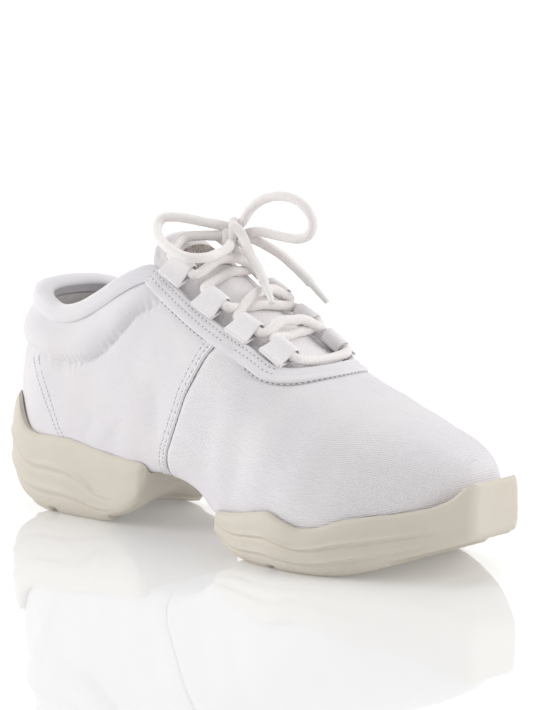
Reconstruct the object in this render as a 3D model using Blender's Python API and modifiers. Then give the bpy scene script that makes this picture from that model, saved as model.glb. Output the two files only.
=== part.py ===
"""A low, laced dance sneaker for the right foot, with a split sole.

The canvas upper is one shell around a last. The last is a row of sections along
the foot, each rising from the feather edge through the girth to the ridge of the
instep. A cupped forefoot sole with a flat toe block and a cupped heel sole are
cut to that last, and the arch between them is bare canvas.
Sizes are in millimetres: x runs from the heel (0) to the toe, +y is the medial
side, and z rises from the floor. MM turns them into metres.
"""
import math

import bmesh
import bpy
import numpy as np
from mathutils import Matrix, Vector

MM = 0.001

# Driving sizes
LENGTH = 252.0
CANVAS_WALL = 1.8
COLLAR_WALL = 5.5
GAP = 0.35
BAND_WIDTH = 8.8
BAND_THICKNESS = 0.9
INSOLE_THICKNESS, INSOLE_INSET, INSOLE_HALF = 3.0, 2.9, 26.0
TONGUE_THICKNESS, TONGUE_DEPTH = 3.0, 3.2
EYESTAY_HALF = 19.0         # half the width in which the tongue may rise
LACE_DIAMETER = 4.2
LOOP_WIDTH = 10.0

LATERAL, MEDIAL = -1, 1
LAST_HEEL, LAST_TOE = 3.0, 246.0
HEEL_ROUND, HEEL_POWER = 34.0, 2.2
TOE_ROUND, TOE_POWER = 52.0, 2.4
THROAT_FRONT, THROAT_ROUND = 167.0, 14.0
ARCH_FROM, ARCH_TO = 86.0, 143.0
GIRTH_SHARE = 0.28          # share of a section's run that lies below the girth
# The collar's edge turns into the eyestay's between these places; a larger CORNER is sharper
CORNER, CORNER_FROM, CORNER_TO = 30.0, 60.0, 100.0

# Sections of the last. crown is the exponent of the arch above the girth.
LAST = [
    dict(x=3, feather=21, girth=42, ridge=128, crown=2.4, lateral=30.5, medial=29.5, tuck=0.10),
    dict(x=25, feather=20.5, girth=42, ridge=132, crown=2.4, lateral=31, medial=30, tuck=0.10),
    dict(x=50, feather=21, girth=44, ridge=134, crown=2.6, lateral=31, medial=29.5, tuck=0.12),
    dict(x=75, feather=22.5, girth=45, ridge=123.5, crown=3.3, lateral=31, medial=29.5, tuck=0.15),
    dict(x=95, feather=25, girth=42.5, ridge=112, crown=3.5, lateral=31.5, medial=30, tuck=0.22),
    dict(x=108, feather=25.5, girth=40, ridge=105, crown=3.4, lateral=32.5, medial=30.7, tuck=0.24),
    dict(x=120, feather=21.5, girth=38, ridge=98.7, crown=3.2, lateral=34, medial=32, tuck=0.20),
    dict(x=130, feather=15.5, girth=35, ridge=94, crown=3.0, lateral=35.7, medial=34, tuck=0.15),
    dict(x=145, feather=11.5, girth=31, ridge=87.5, crown=2.7, lateral=38.8, medial=36.7, tuck=0.10),
    dict(x=165, feather=11, girth=28, ridge=77.3, crown=2.3, lateral=43.2, medial=39.5, tuck=0.09),
    dict(x=185, feather=10.5, girth=26, ridge=69.5, crown=2.2, lateral=44.2, medial=40.5, tuck=0.09),
    dict(x=205, feather=12.5, girth=27, ridge=62.5, crown=2.2, lateral=38.8, medial=39, tuck=0.09),
    dict(x=220, feather=16, girth=29.5, ridge=57.5, crown=2.25, lateral=33.2, medial=37.5, tuck=0.09),
    dict(x=232, feather=19.5, girth=32, ridge=53.5, crown=2.4, lateral=28.5, medial=36.5, tuck=0.09),
    dict(x=246, feather=24, girth=36, ridge=47, crown=2.6, lateral=21, medial=30, tuck=0.09),
]
# How far the back and the toe lie in front of and behind the last's ends, by height
BACK = [
    dict(z=18, lean=2.5), dict(z=30, lean=0.3), dict(z=44, lean=-0.8), dict(z=53, lean=-0.9),
    dict(z=64, lean=1.0), dict(z=75, lean=3.2), dict(z=85, lean=5.2), dict(z=97, lean=10.0),
    dict(z=130, lean=24.0),
]
TOE = [
    dict(z=18, lean=2.5), dict(z=28, lean=0.6), dict(z=36, lean=0), dict(z=42, lean=1.5),
    dict(z=49, lean=6.0), dict(z=58, lean=12.0),
]
# Height of the collar's edge along the foot
COLLAR = [
    dict(x=3, z=95.5), dict(x=12, z=94.5), dict(x=25, z=91.5), dict(x=40, z=88.8), dict(x=51, z=91.5),
    dict(x=61, z=96.7), dict(x=71, z=103.3), dict(x=80, z=109), dict(x=95, z=118),
]
# Half the gap between the two eyestays
THROAT = [
    dict(x=70, half=18.5), dict(x=90, half=20.5), dict(x=110, half=22.0), dict(x=170, half=22.0),
]


def smooth(table, key, name, at):
    """A table's column at any place: a curve through its rows, flat beyond the ends."""
    xs = np.array([row[key] for row in table], float)
    ys = np.array([row[name] for row in table], float)
    at = np.clip(np.asarray(at, float), xs[0], xs[-1])
    slopes = np.gradient(ys, xs)
    i = np.clip(np.searchsorted(xs, at, side="right") - 1, 0, len(xs) - 2)
    run = xs[i + 1] - xs[i]
    t = (at - xs[i]) / run
    return (
        ys[i] * (1 + 2 * t) * (1 - t) ** 2
        + ys[i + 1] * t**2 * (3 - 2 * t)
        + run * slopes[i] * t * (1 - t) ** 2
        - run * slopes[i + 1] * t**2 * (1 - t)
    )


def ends_round(x):
    """Share of a section's width that the rounded heel and toe leave."""
    heel = np.clip((LAST_HEEL + HEEL_ROUND - x) / HEEL_ROUND, 0, 1)
    toe = np.clip((x - LAST_TOE + TOE_ROUND) / TOE_ROUND, 0, 1)
    return (1 - heel**HEEL_POWER) ** (1 / HEEL_POWER) * (1 - toe**TOE_POWER) ** (1 / TOE_POWER)


def last(x, side, run, grow=0.0):
    """A point of the last: x along the foot, run from the feather edge (0) to the ridge (1)."""
    x, run = np.broadcast_arrays(np.asarray(x, float), np.asarray(run, float))
    name = "lateral" if side == LATERAL else "medial"
    narrowed = ends_round(x)
    width = smooth(LAST, "x", name, x) * narrowed + grow
    foot = width * (1 - smooth(LAST, "x", "tuck", x))
    low = smooth(LAST, "x", "feather", x) - grow
    mid = smooth(LAST, "x", "girth", x)
    rise = smooth(LAST, "x", "ridge", x) + grow - mid
    crown = smooth(LAST, "x", "crown", x)
    below = np.clip(run / GIRTH_SHARE, 0, 1) * math.pi / 2
    above = np.clip((run - GIRTH_SHARE) / (1 - GIRTH_SHARE), 0, 1) * math.pi / 2
    c, s = np.cos(above), np.sin(above)
    reach = (c**crown + s**crown) ** (1 / crown)
    y = np.where(run < GIRTH_SHARE, foot + (width - foot) * np.sin(below), width * c / reach)
    z = np.where(run < GIRTH_SHARE, low + (mid - low) * (1 - np.cos(below)), mid + rise * s / reach)
    lean = smooth(BACK, "z", "lean", z) * np.clip(1 - (x - LAST_HEEL) / 60, 0, 1) ** 2
    lean = lean - smooth(TOE, "z", "lean", z) * np.clip((x - LAST_TOE + 40) / 40, 0, 1) ** 2
    stretch = grow * ((x - LAST_HEEL) / (LAST_TOE - LAST_HEEL) * 2 - 1)
    return np.stack([x + lean + stretch, side * y, z], -1)


def run_at(share, crown):
    """The run at which a section's arch has risen by this share of its height."""
    share = np.clip(share, 0, 1)
    angle = np.arctan2(share, (1 - share**crown) ** (1 / crown))
    return GIRTH_SHARE + (1 - GIRTH_SHARE) * angle / (math.pi / 2)


def throat_half(x):
    """Half the gap between the eyestays, closing round the front of the throat."""
    closing = np.clip((x - THROAT_FRONT + THROAT_ROUND) / THROAT_ROUND, 0, 1)
    return smooth(THROAT, "x", "half", x) * np.sqrt(1 - closing**2)


def edge_run(x, side):
    """The run at which a section meets the collar's or throat's edge; 1 in front of the throat."""
    x = np.asarray(x, float)
    crown = smooth(LAST, "x", "crown", x)
    mid = smooth(LAST, "x", "girth", x)
    rise = smooth(LAST, "x", "ridge", x) - mid
    collar = run_at((smooth(COLLAR, "x", "z", x) - mid) / rise, crown)
    name = "lateral" if side == LATERAL else "medial"
    width = smooth(LAST, "x", name, x)
    share = np.clip(throat_half(x) / width, 0, 1)
    throat = run_at((1 - share**crown) ** (1 / crown), crown)
    both = -np.log(np.exp(-CORNER * collar) + np.exp(-CORNER * throat)) / CORNER
    run = np.where(x > CORNER_TO, throat, np.where(x < CORNER_FROM, collar, both))
    return np.where(x >= THROAT_FRONT, 1.0, run)


def stations(heel=8, quarter=15, vamp=4, toe=9):
    """Places along the foot, closer together where the heel, the throat and the toe turn."""
    turn_in = LAST_HEEL + HEEL_ROUND * (1 - np.cos(np.linspace(0, math.pi / 2, heel)))
    middle = np.linspace(turn_in[-1], THROAT_FRONT - THROAT_ROUND, quarter)[1:]
    throat = THROAT_FRONT - THROAT_ROUND * (1 - np.sin(np.linspace(0, math.pi / 2, 5)))[1:]
    front = np.linspace(THROAT_FRONT, LAST_TOE - TOE_ROUND, vamp)[1:]
    turn_out = LAST_TOE - TOE_ROUND + TOE_ROUND * np.sin(np.linspace(0, math.pi / 2, toe))[1:]
    return np.concatenate([turn_in, middle, throat, front, turn_out])


# The collar's pad swells between this line and the band
PAD_SWELL = 2.4
PAD_FRONT = 96.0
PAD = [
    dict(x=3, low=70), dict(x=25, low=68), dict(x=45, low=66), dict(x=58, low=68),
    dict(x=67, low=73), dict(x=76, low=81), dict(x=86, low=91), dict(x=98, low=98),
]


def swell(x, z):
    """How far the collar's pad stands out of the last."""
    low = smooth(PAD, "x", "low", x)
    high = smooth(COLLAR, "x", "z", x) - BAND_WIDTH
    share = np.clip((z - low) / np.maximum(high - low, 1), 0, 1)
    fade = np.clip((PAD_FRONT - x) / 20, 0, 1)
    return PAD_SWELL * np.sin(math.pi * share) * fade


def skin(x, side, run, lift=0.0):
    """A point at a distance (lift) outside the upper's outer face."""
    x, run = np.broadcast_arrays(np.asarray(x, float), np.asarray(run, float))
    step = np.where(x > LAST_TOE - 1, -0.02, 0.02)
    rise = np.where(run > 0.99, -0.002, 0.002)
    here = last(x, side, run)
    along = (last(x + step, side, run) - here) / step[..., None]
    up = (last(x, side, run + rise) - here) / rise[..., None]
    out = np.cross(along, up) * -side
    out = out / np.maximum(np.linalg.norm(out, axis=-1, keepdims=True), 1e-9)
    lying = swell(x, here[..., 2]) + lift
    moved = here + out * lying[..., None]
    closed = (x <= LAST_HEEL) | (x >= LAST_TOE) | (run >= 1)
    moved[..., 1] = np.where(closed, 0.0, moved[..., 1])
    return moved


def centred(points):
    """Millimetres from the heel to metres from the middle of the sole."""
    return (np.asarray(points, float) - np.array([LENGTH / 2, SOLE_MIDDLE, 0])) * MM


def grid_faces(rows, columns, start=0, flip=False):
    """Quads of a grid of points stored row by row."""
    index = start + np.arange(rows * columns).reshape(rows, columns)
    quads = np.stack([index[:-1, :-1], index[:-1, 1:], index[1:, 1:], index[1:, :-1]], -1)
    quads = quads.reshape(-1, 4)
    return quads[:, ::-1] if flip else quads


def add_object(name, points, faces, material, collection):
    """A mesh object from points in millimetres, with its doubled points merged."""
    mesh = bpy.data.meshes.new(name)
    mesh.from_pydata(centred(points).tolist(), [], [list(map(int, face)) for face in faces])
    work = bmesh.new()
    work.from_mesh(mesh)
    bmesh.ops.remove_doubles(work, verts=work.verts, dist=0.004 * MM)
    bmesh.ops.dissolve_degenerate(work, edges=work.edges, dist=0.004 * MM)
    work.to_mesh(mesh)
    work.free()
    mesh.shade_smooth()
    mesh.set_sharp_from_angle(angle=math.radians(40))
    mesh.materials.append(material)
    obj = bpy.data.objects.new(name, mesh)
    collection.objects.link(obj)
    return obj


def solidify(obj, thickness, group=None, least=1.0):
    """Gives an open surface its wall, on the inner side."""
    wall = obj.modifiers.new("wall", "SOLIDIFY")
    wall.thickness = thickness * MM
    wall.offset = -1
    wall.use_quality_normals = True
    if group:
        wall.vertex_group = group
        wall.thickness_vertex_group = least
    return wall


def make_material(name, colour, roughness):
    material = bpy.data.materials.new(name)
    material.use_nodes = True
    surface = material.node_tree.nodes["Principled BSDF"]
    surface.inputs["Base Color"].default_value = (*colour, 1)
    surface.inputs["Roughness"].default_value = roughness
    surface.inputs["Metallic"].default_value = 0
    material.diffuse_color = (*colour, 1)
    return material


def make_upper(material, collection):
    """The canvas shell: two sides that meet over the vamp, and the bare arch below."""
    xs = stations()
    rows = 12
    points, faces = [], []
    for side in (LATERAL, MEDIAL):
        run = np.linspace(0, 1, rows)[:, None] * edge_run(xs, side)[None]
        faces.append(grid_faces(rows, len(xs), len(points) * rows * len(xs), side == MEDIAL))
        points.append(skin(xs[None], side, run))
    arch = np.nonzero((xs >= ARCH_FROM) & (xs <= ARCH_TO))[0]
    across = 7
    share = np.linspace(0, 1, across)[:, None, None]
    under = points[0][0, arch] * (1 - share) + points[1][0, arch] * share
    faces.append(grid_faces(across, len(arch), 2 * rows * len(xs), True))
    flat = np.concatenate([p.reshape(-1, 3) for p in (*points, under)])
    upper = add_object("upper", flat, np.concatenate(faces), material, collection)
    group = upper.vertex_groups.new(name="collar pad")
    for vertex in upper.data.vertices:
        place = np.array(vertex.co) / MM + np.array([LENGTH / 2, SOLE_MIDDLE, 0])
        low = float(smooth(PAD, "x", "low", place[0]))
        padded = np.clip((place[2] - low) / 8, 0, 1) * np.clip((PAD_FRONT - place[0]) / 15, 0, 1)
        group.add([vertex.index], float(padded), "REPLACE")
    solidify(upper, COLLAR_WALL, "collar pad", CANVAS_WALL / COLLAR_WALL)
    return upper


def last_form(grow, collection):
    """The closed last, a little larger than the upper, that hollows the soles."""
    xs = stations()
    run = np.concatenate([np.linspace(0, GIRTH_SHARE, 8), (0.30, 0.32, 0.34, 0.38, 0.5, 0.75, 1)])
    rows, across = len(run), 6
    points, faces = [], []
    for side in (LATERAL, MEDIAL):
        faces.append(grid_faces(rows, len(xs), len(points) * rows * len(xs), side == MEDIAL))
        points.append(last(xs[None], side, run[:, None], grow))
        ends = points[-1][:, [0, -1]]
        ends[..., 1] = 0
        points[-1][:, [0, -1]] = ends
        points[-1][-1, :, 1] = 0
    share = np.linspace(0, 1, across)[:, None, None]
    under = points[0][0] * (1 - share) + points[1][0] * share
    faces.append(grid_faces(across, len(xs), 2 * rows * len(xs), True))
    flat = np.concatenate([p.reshape(-1, 3) for p in (*points, under)])
    form = add_object("last form", flat, np.concatenate(faces), None, collection)
    form.hide_render = True
    form.display_type = "WIRE"
    return form


# Soles: half widths, the height of the underside and of the rim, how far the ribs
# on the side stand out (1 is all of it) and how far they droop towards the floor
HEEL_SOLE = [
    dict(x=0, lateral=34, medial=32.5, under=13, rim=48.5, rib=0.3, droop=1.0),
    dict(x=7, lateral=34, medial=32.5, under=9.5, rim=48, rib=1, droop=1.0),
    dict(x=12, lateral=34, medial=32.5, under=7, rim=46.5, rib=1, droop=1.0),
    dict(x=17, lateral=34, medial=32.3, under=4.8, rim=40.5, rib=1, droop=1.02),
    dict(x=22, lateral=34, medial=32, under=3, rim=35.5, rib=1, droop=1.05),
    dict(x=29, lateral=34, medial=31.7, under=1, rim=33.3, rib=1, droop=1.05),
    dict(x=37, lateral=33.8, medial=31.5, under=0, rim=33.5, rib=1, droop=1.05),
    dict(x=48, lateral=33.4, medial=31.5, under=0, rim=33.5, rib=1, droop=1.0),
    dict(x=57, lateral=33, medial=31.3, under=0, rim=32.5, rib=1, droop=0.88),
    dict(x=64, lateral=32.8, medial=31, under=0.3, rim=31.2, rib=0.8, droop=0.7),
    dict(x=72, lateral=32.5, medial=30.8, under=1.7, rim=30.2, rib=0.2, droop=0.6),
    dict(x=80, lateral=32.3, medial=30.5, under=4.6, rim=29.3, rib=0, droop=0.6),
    dict(x=85, lateral=31.8, medial=30.2, under=8, rim=29, rib=0, droop=0.7),
    dict(x=88.5, lateral=30.8, medial=29.3, under=13, rim=29.2, rib=0, droop=0.8),
    dict(x=90.5, lateral=29, medial=27.5, under=20, rim=29.4, rib=0, droop=0.9),
]
HEEL_SOLE_BACK = [
    dict(z=6, lean=5.5), dict(z=14, lean=2.5), dict(z=22, lean=0.6), dict(z=30, lean=0),
    dict(z=40, lean=0.6), dict(z=49, lean=2.6),
]
FORE_SOLE = [
    dict(x=136.5, lateral=36, medial=32, under=12.5, rim=17, rib=0, droop=1),
    dict(x=138.5, lateral=39, medial=34.5, under=8.5, rim=17.3, rib=0.4, droop=1),
    dict(x=143, lateral=41.5, medial=36.5, under=5, rim=17.8, rib=1, droop=1),
    dict(x=149, lateral=43.7, medial=39, under=2.2, rim=18.7, rib=1, droop=1),
    dict(x=156, lateral=45.7, medial=41, under=0.5, rim=20, rib=1, droop=1),
    dict(x=165, lateral=47.2, medial=43, under=0, rim=22, rib=1, droop=1),
    dict(x=173, lateral=48.2, medial=43.8, under=0, rim=23.2, rib=1, droop=1),
    dict(x=181, lateral=48.4, medial=44.2, under=0, rim=20.8, rib=1, droop=1),
    dict(x=188, lateral=47.5, medial=44, under=0, rim=18.9, rib=1, droop=1),
    dict(x=197, lateral=45.2, medial=43.4, under=0, rim=20.2, rib=1, droop=1),
    dict(x=206, lateral=41.6, medial=42, under=1, rim=23.8, rib=1, droop=1),
    dict(x=215, lateral=37.2, medial=39.6, under=3.5, rim=25.8, rib=1, droop=0.96),
    dict(x=224, lateral=31.6, medial=36.2, under=6.6, rim=27.3, rib=1, droop=0.94),
    dict(x=232, lateral=26.2, medial=31.8, under=9.3, rim=29.2, rib=1, droop=0.9),
    dict(x=239, lateral=21.4, medial=26.8, under=11.8, rim=31.6, rib=1, droop=0.85),
    dict(x=244, lateral=17.8, medial=22.8, under=13.5, rim=34.8, rib=1, droop=0.8),
    dict(x=248, lateral=14.8, medial=19.5, under=15, rim=39.3, rib=1, droop=0.72),
    dict(x=252, lateral=12, medial=16.5, under=16.8, rim=41.5, rib=1, droop=0.68),
]
SOLE_ROUND, SOLE_POWER = 28.0, 2.2
TREAD_DEPTH, TREAD_RAMP = 1.6, 0.3
FORE_TREAD = dict(start=151, groove_from=173, groove_to=178, end=222)
HEEL_TREAD = dict(start=26, groove_from=36, groove_to=40, end=70)
HEEL_TURN = (0.6, 2.0, 4.0, 9.5)       # stations added where the heel turns
SOLE_MIDDLE = (44.2 - 48.4) / 2
# The side of a sole, from the ground edge (0) to the rim (1); stand is how far each
# line stands out, and a rib's line stands out by its own height besides
SOLE_SIDE = [
    dict(share=0.0, stand=-5.0, rib=0), dict(share=0.09, stand=-1.8, rib=0),
    dict(share=0.21, stand=-0.2, rib=0), dict(share=0.26, stand=0.0, rib=0),
    dict(share=0.31, stand=0.0, rib=1.0), dict(share=0.37, stand=0.0, rib=0),
    dict(share=0.54, stand=-0.1, rib=0), dict(share=0.60, stand=-0.2, rib=1.0),
    dict(share=0.66, stand=-0.4, rib=0), dict(share=0.88, stand=-0.9, rib=0),
    dict(share=1.0, stand=-2.0, rib=0),
]


def sole_stations(table, tread, extra):
    """Rows of a sole table with others between, and doubled ones where the tread steps."""
    places = [row["x"] for row in table] + list(extra)
    for step in tread.values():
        places += [step - TREAD_RAMP, step + TREAD_RAMP]
    return np.unique(np.round(np.array(places, float), 3))


def tread_at(x, tread):
    """How far the skin lies above the tread's pads: none where a pad stands."""
    on = (x > tread["start"]) & (x < tread["end"])
    groove = (x > tread["groove_from"]) & (x < tread["groove_to"])
    return np.where(on & ~groove, 0.0, TREAD_DEPTH)


def make_sole_block(name, table, tread, extra, back, material, collection):
    """A sole as one lofted block, before its hollow is cut."""
    xs = sole_stations(table, tread, extra)
    shares = np.array([row["share"] for row in SOLE_SIDE])[:, None]
    stands = np.array([row["stand"] for row in SOLE_SIDE])[:, None]
    ribs = np.array([row["rib"] for row in SOLE_SIDE])[:, None]
    rim = smooth(table, "x", "rim", xs)
    under = np.maximum(smooth(table, "x", "under", xs), 0) + tread_at(xs, tread)
    droop = smooth(table, "x", "droop", xs)
    lines = np.where((shares > 0.1) & (shares < 0.8), shares * droop, shares)
    turn = np.clip((SOLE_ROUND - xs) / SOLE_ROUND, 0, 1) if back else np.zeros(len(xs))
    narrowed = (1 - turn**SOLE_POWER) ** (1 / SOLE_POWER)
    z = under + (rim - under) * lines
    sides = []
    for side, column in ((LATERAL, "lateral"), (MEDIAL, "medial")):
        half = smooth(table, "x", column, xs) + stands + ribs * smooth(table, "x", "rib", xs)
        lean = smooth(back, "z", "lean", z) * np.clip(1 - xs / 45, 0, 1) ** 2 if back else 0
        inset = -stands * turn**2
        sides.append(np.stack([xs + lean + inset, side * half * narrowed, z], -1))
    loop = np.concatenate([sides[0], sides[1][::-1]])
    if back:
        loop[..., 0] -= loop[..., 0].min()
    rows, columns = loop.shape[:2]
    faces = grid_faces(rows, columns).tolist()
    last_row = (rows - 1) * columns
    for i in range(columns - 1):
        faces.append([i + 1, i, last_row + i, last_row + i + 1])
    faces.append([row * columns + columns - 1 for row in range(rows)][::-1])
    if not back:
        faces.append([row * columns for row in range(rows)])
    return add_object(name, loop.reshape(-1, 3), faces, material, collection)


def cut(obj, cutter):
    hollow = obj.modifiers.new("hollow", "BOOLEAN")
    hollow.operation = "DIFFERENCE"
    hollow.object = cutter
    hollow.solver = "EXACT"


def make_insole(material, collection):
    """A footbed just inside the upper, down on the soles and over the canvas of the arch."""
    xs = stations(quarter=12)
    along = (xs - LAST_HEEL) / (LAST_TOE - LAST_HEEL)
    edge = [last(xs, side, 0.0) for side in (LATERAL, MEDIAL)]
    share = np.linspace(0, 1, 5)[:, None, None]
    top = edge[0][None] * (1 - share) + edge[1][None] * share
    top[..., 0] += INSOLE_INSET * (1 - 2 * along)
    top[..., 1] *= 1 - INSOLE_INSET / INSOLE_HALF
    feather = smooth(LAST, "x", "feather", xs)
    steep = np.sqrt(1 + np.gradient(feather, xs) ** 2)
    over_arch = np.clip((xs - ARCH_FROM + 14) / 10, 0, 1) * np.clip((ARCH_TO + 14 - xs) / 10, 0, 1)
    rest = feather + GAP + (CANVAS_WALL + GAP) * over_arch * steep
    top[..., 2] = rest + INSOLE_THICKNESS * steep
    insole = add_object("insole", top.reshape(-1, 3), grid_faces(5, len(xs)), material, collection)
    solidify(insole, INSOLE_THICKNESS)
    return insole


# The tongue: half width, and how far its middle stands above the last
TONGUE = [
    dict(x=82, half=13.0, bulge=5.5), dict(x=84, half=16.0, bulge=6.5), dict(x=88, half=17.5, bulge=7),
    dict(x=95, half=20.0, bulge=6.5), dict(x=106, half=23.5, bulge=5.5), dict(x=118, half=25.0, bulge=3.5),
    dict(x=130, half=25.0, bulge=2), dict(x=145, half=25.0, bulge=0.3), dict(x=165, half=24.0, bulge=0),
    dict(x=173, half=20.0, bulge=0),
]


def tongue_top(x, y):
    """Height of the tongue's outer face: below the last, but raised between the eyestays."""
    x, y = np.broadcast_arrays(np.asarray(x, float), np.asarray(y, float))
    crown = smooth(LAST, "x", "crown", x)
    mid = smooth(LAST, "x", "girth", x)
    rise = smooth(LAST, "x", "ridge", x) - TONGUE_DEPTH - mid
    lateral = smooth(LAST, "x", "lateral", x) - TONGUE_DEPTH
    medial = smooth(LAST, "x", "medial", x) - TONGUE_DEPTH
    share = np.clip(np.abs(y) / np.where(y < 0, lateral, medial), 0, 0.98)
    raised = smooth(TONGUE, "x", "bulge", x) * np.clip(1 - (y / EYESTAY_HALF) ** 2, 0, 1)
    return mid + rise * (1 - share**crown) ** (1 / crown) + raised


def make_tongue(material, collection):
    """A padded tongue that lies under both eyestays and ends above them."""
    xs = np.concatenate([[82, 84, 87], np.linspace(91, 173, 12)])
    y = np.linspace(-1, 1, 11)[:, None] * smooth(TONGUE, "x", "half", xs)[None]
    x = np.broadcast_to(xs, y.shape)
    points = np.stack([x, y, tongue_top(x, y)], -1)
    faces = grid_faces(*y.shape)
    tongue = add_object("tongue", points.reshape(-1, 3), faces, material, collection)
    solidify(tongue, TONGUE_THICKNESS)
    return tongue


def edge_path(side, many):
    """Places (x, run) along the collar's and the throat's edge of one side, back to front."""
    straight = np.linspace(30, THROAT_FRONT - THROAT_ROUND, many)
    back = LAST_HEEL + 26 * (1 - np.cos(np.linspace(0, math.pi / 2, 7)))[:-1]
    front = THROAT_FRONT - THROAT_ROUND * (1 - np.sin(np.linspace(0, math.pi / 2, 7)))[1:]
    x = np.concatenate([back, straight, front])
    return x, edge_run(x, side)


def away_from_edge(x, run, side, distance, lift):
    """Points on the skin at a distance from the edge, measured square to it."""
    here = skin(x, side, run)
    along = np.gradient(here, axis=0)
    along[0] = (0, side, 0)
    along[-1, 0] = along[-1, 2] = 0
    along /= np.linalg.norm(along, axis=-1, keepdims=True)
    place_x, place_run = x.copy(), run.copy()
    steps, near, near_run = 4, 0.05, 0.004
    for _ in range(steps):
        here = last(place_x, side, place_run)
        behind = np.where(place_x > LAST_HEEL + near, near, 0.0)
        by_x = last(place_x + near, side, place_run) - last(place_x - behind, side, place_run)
        by_x /= (near + behind)[:, None]
        by_run = (here - last(place_x, side, place_run - near_run)) / near_run
        out = np.cross(by_x, by_run) * -side
        out /= np.linalg.norm(out, axis=-1, keepdims=True)
        down = np.cross(out, along) * side
        for i in range(len(x)):
            basis = np.stack([by_x[i], by_run[i]], 1)
            move = np.linalg.lstsq(basis, down[i] * distance / steps, rcond=None)[0]
            place_x[i] += 0 if i == 0 else move[0]
            place_run[i] += 0 if i == len(x) - 1 else move[1]
        place_run = np.clip(place_run, 0, 1)
        place_run[-1] = 1.0
        place_x = np.maximum(place_x, LAST_HEEL)
    return skin(place_x, side, place_run, lift)


def make_band(material, collection):
    """The binding that runs round the collar, up the eyestays and across the throat."""
    rows = []
    for distance in np.linspace(0, BAND_WIDTH, 3):
        halves = []
        for side in (LATERAL, MEDIAL):
            x, run = edge_path(side, 22)
            half = away_from_edge(x, run, side, distance, GAP + BAND_THICKNESS)
            half[[0, -1], 1] = 0
            halves.append(half)
        rows.append(np.concatenate([halves[0], halves[1][::-1]]))
    points = np.array(rows)
    faces = grid_faces(*points.shape[:2], flip=True)
    band = add_object("collar_and_eyestay_band", points.reshape(-1, 3), faces, material, collection)
    solidify(band, BAND_THICKNESS)
    return band


# The seam where the vamp's canvas meets the quarter's: x by the run up the side
SEAM_WIDTH, SEAM_THICKNESS = 6.5, 0.7
SEAM = [
    dict(run=0.05, x=103), dict(run=0.21, x=106), dict(run=0.34, x=110.8),
    dict(run=0.435, x=116.4), dict(run=0.55, x=124.5), dict(run=0.6, x=127.8),
]


def make_seam(name, side, material, collection):
    """A folded strip over the seam, from the arch to the band."""
    run = np.linspace(SEAM[0]["run"], SEAM[-1]["run"], 10)[:, None]
    across = np.linspace(-0.5, 0.5, 3)[None] * SEAM_WIDTH * 1.1
    points = skin(smooth(SEAM, "run", "x", run) + across, side, run, GAP + SEAM_THICKNESS)
    faces = grid_faces(*points.shape[:2], flip=side == LATERAL)
    seam = add_object(name, points.reshape(-1, 3), faces, material, collection)
    solidify(seam, SEAM_THICKNESS)
    return seam


# Lace loops: flat tape folded round the lace, four on each eyestay
LOOP_PLACES = (97.0, 116.0, 134.5, 151.5)
LOOP_WALL, LOOP_CLEAR = 0.8, 0.4
LOOP_REACH, LOOP_INSET, LOOP_RAISE = 10.6, 1.2, 1.25
LOOP_TILT = 0.8            # share of the tongue's own slope that a loop takes up
LOOP_HEIGHT = LACE_DIAMETER + 2 * LOOP_CLEAR + 2 * LOOP_WALL


def unit(vector):
    return vector / np.linalg.norm(vector)


def on_tongue(x, y):
    return np.array([x, y, float(tongue_top(x, y))])


def loop_frame(x, side):
    """Where a loop leaves the eyestay, and its directions along the edge, inwards and up."""
    ends = np.array([-0.5, 0.5]) * LOOP_WIDTH
    half = float(np.min(throat_half(x + ends))) - LOOP_INSET
    foot = on_tongue(x, side * half)
    slope = on_tongue(x, side * (half - LOOP_REACH)) - foot
    slope[2] *= LOOP_TILT
    along = unit(on_tongue(x + 2, side * half) - foot)
    inward = unit(slope - along * (slope @ along))
    up = np.cross(along, inward) * -side
    reach = np.linspace(0.15, 0.9, 6) * LOOP_REACH
    line = foot + inward * reach[:, None]
    rise = float(np.max(tongue_top(line[:, 0], line[:, 1]) - line[:, 2])) / up[2]
    return foot + up * (rise + LOOP_RAISE), along, inward, up


def stadium(radius):
    """Outline of a flattened ring's section, from the eyestay inwards and upwards."""
    turn = np.radians(np.linspace(-90, 90, 7))
    far = [(LOOP_REACH - LOOP_HEIGHT / 2 + radius * math.cos(a), radius * math.sin(a)) for a in turn]
    near = [(LOOP_HEIGHT / 2 - radius * math.cos(a), -radius * math.sin(a)) for a in turn]
    return [*far, *near, far[0]]


def make_loop(name, x, side, material, collection):
    """One ring of tape, drawn round its outer face, across, and back round the inner face."""
    foot, along, inward, up = loop_frame(x, side)
    outer, inner = stadium(LOOP_HEIGHT / 2), stadium(LOOP_HEIGHT / 2 - LOOP_WALL)
    rings = []
    for outline, place in ((outer, -0.5), (outer, 0.5), (inner, 0.5), (inner, -0.5), (outer, -0.5)):
        edge = foot + along * place * LOOP_WIDTH
        rings.append([edge + inward * a + up * (LOOP_HEIGHT / 2 + b) for a, b in outline])
    points = np.array(rings)
    faces = grid_faces(*points.shape[:2], flip=side == MEDIAL)
    return add_object(name, points.reshape(-1, 3), faces, material, collection)


LACE_RUN = LOOP_WIDTH / 2 + 2.5
STRAND_STEEP = 1.2          # how much higher than square to the tongue a sloping strand lies
# Where the lace leaves the knot for the first loop, and where it comes back
LACE_START = ((100.2, 4.0, 121.4), (95.5, -1.5, 121.6), (90.5, -7.0, 120.3))
LACE_FINISH = ((91.0, 13.0, 120.0), (95.5, 15.5, 121.2), (100.0, 14.6, 121.6))
KNOT = dict(x=106.5, y=9.5, z=121.8, long=7.0, wide=6.5, high=6.0)


def through(row, side, place):
    """A point of the lace in a loop, at a place along it from its middle."""
    foot, along, inward, up = loop_frame(LOOP_PLACES[row], side)
    return foot + along * place + inward * (LOOP_REACH - LOOP_HEIGHT / 2) + up * LOOP_HEIGHT / 2


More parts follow.
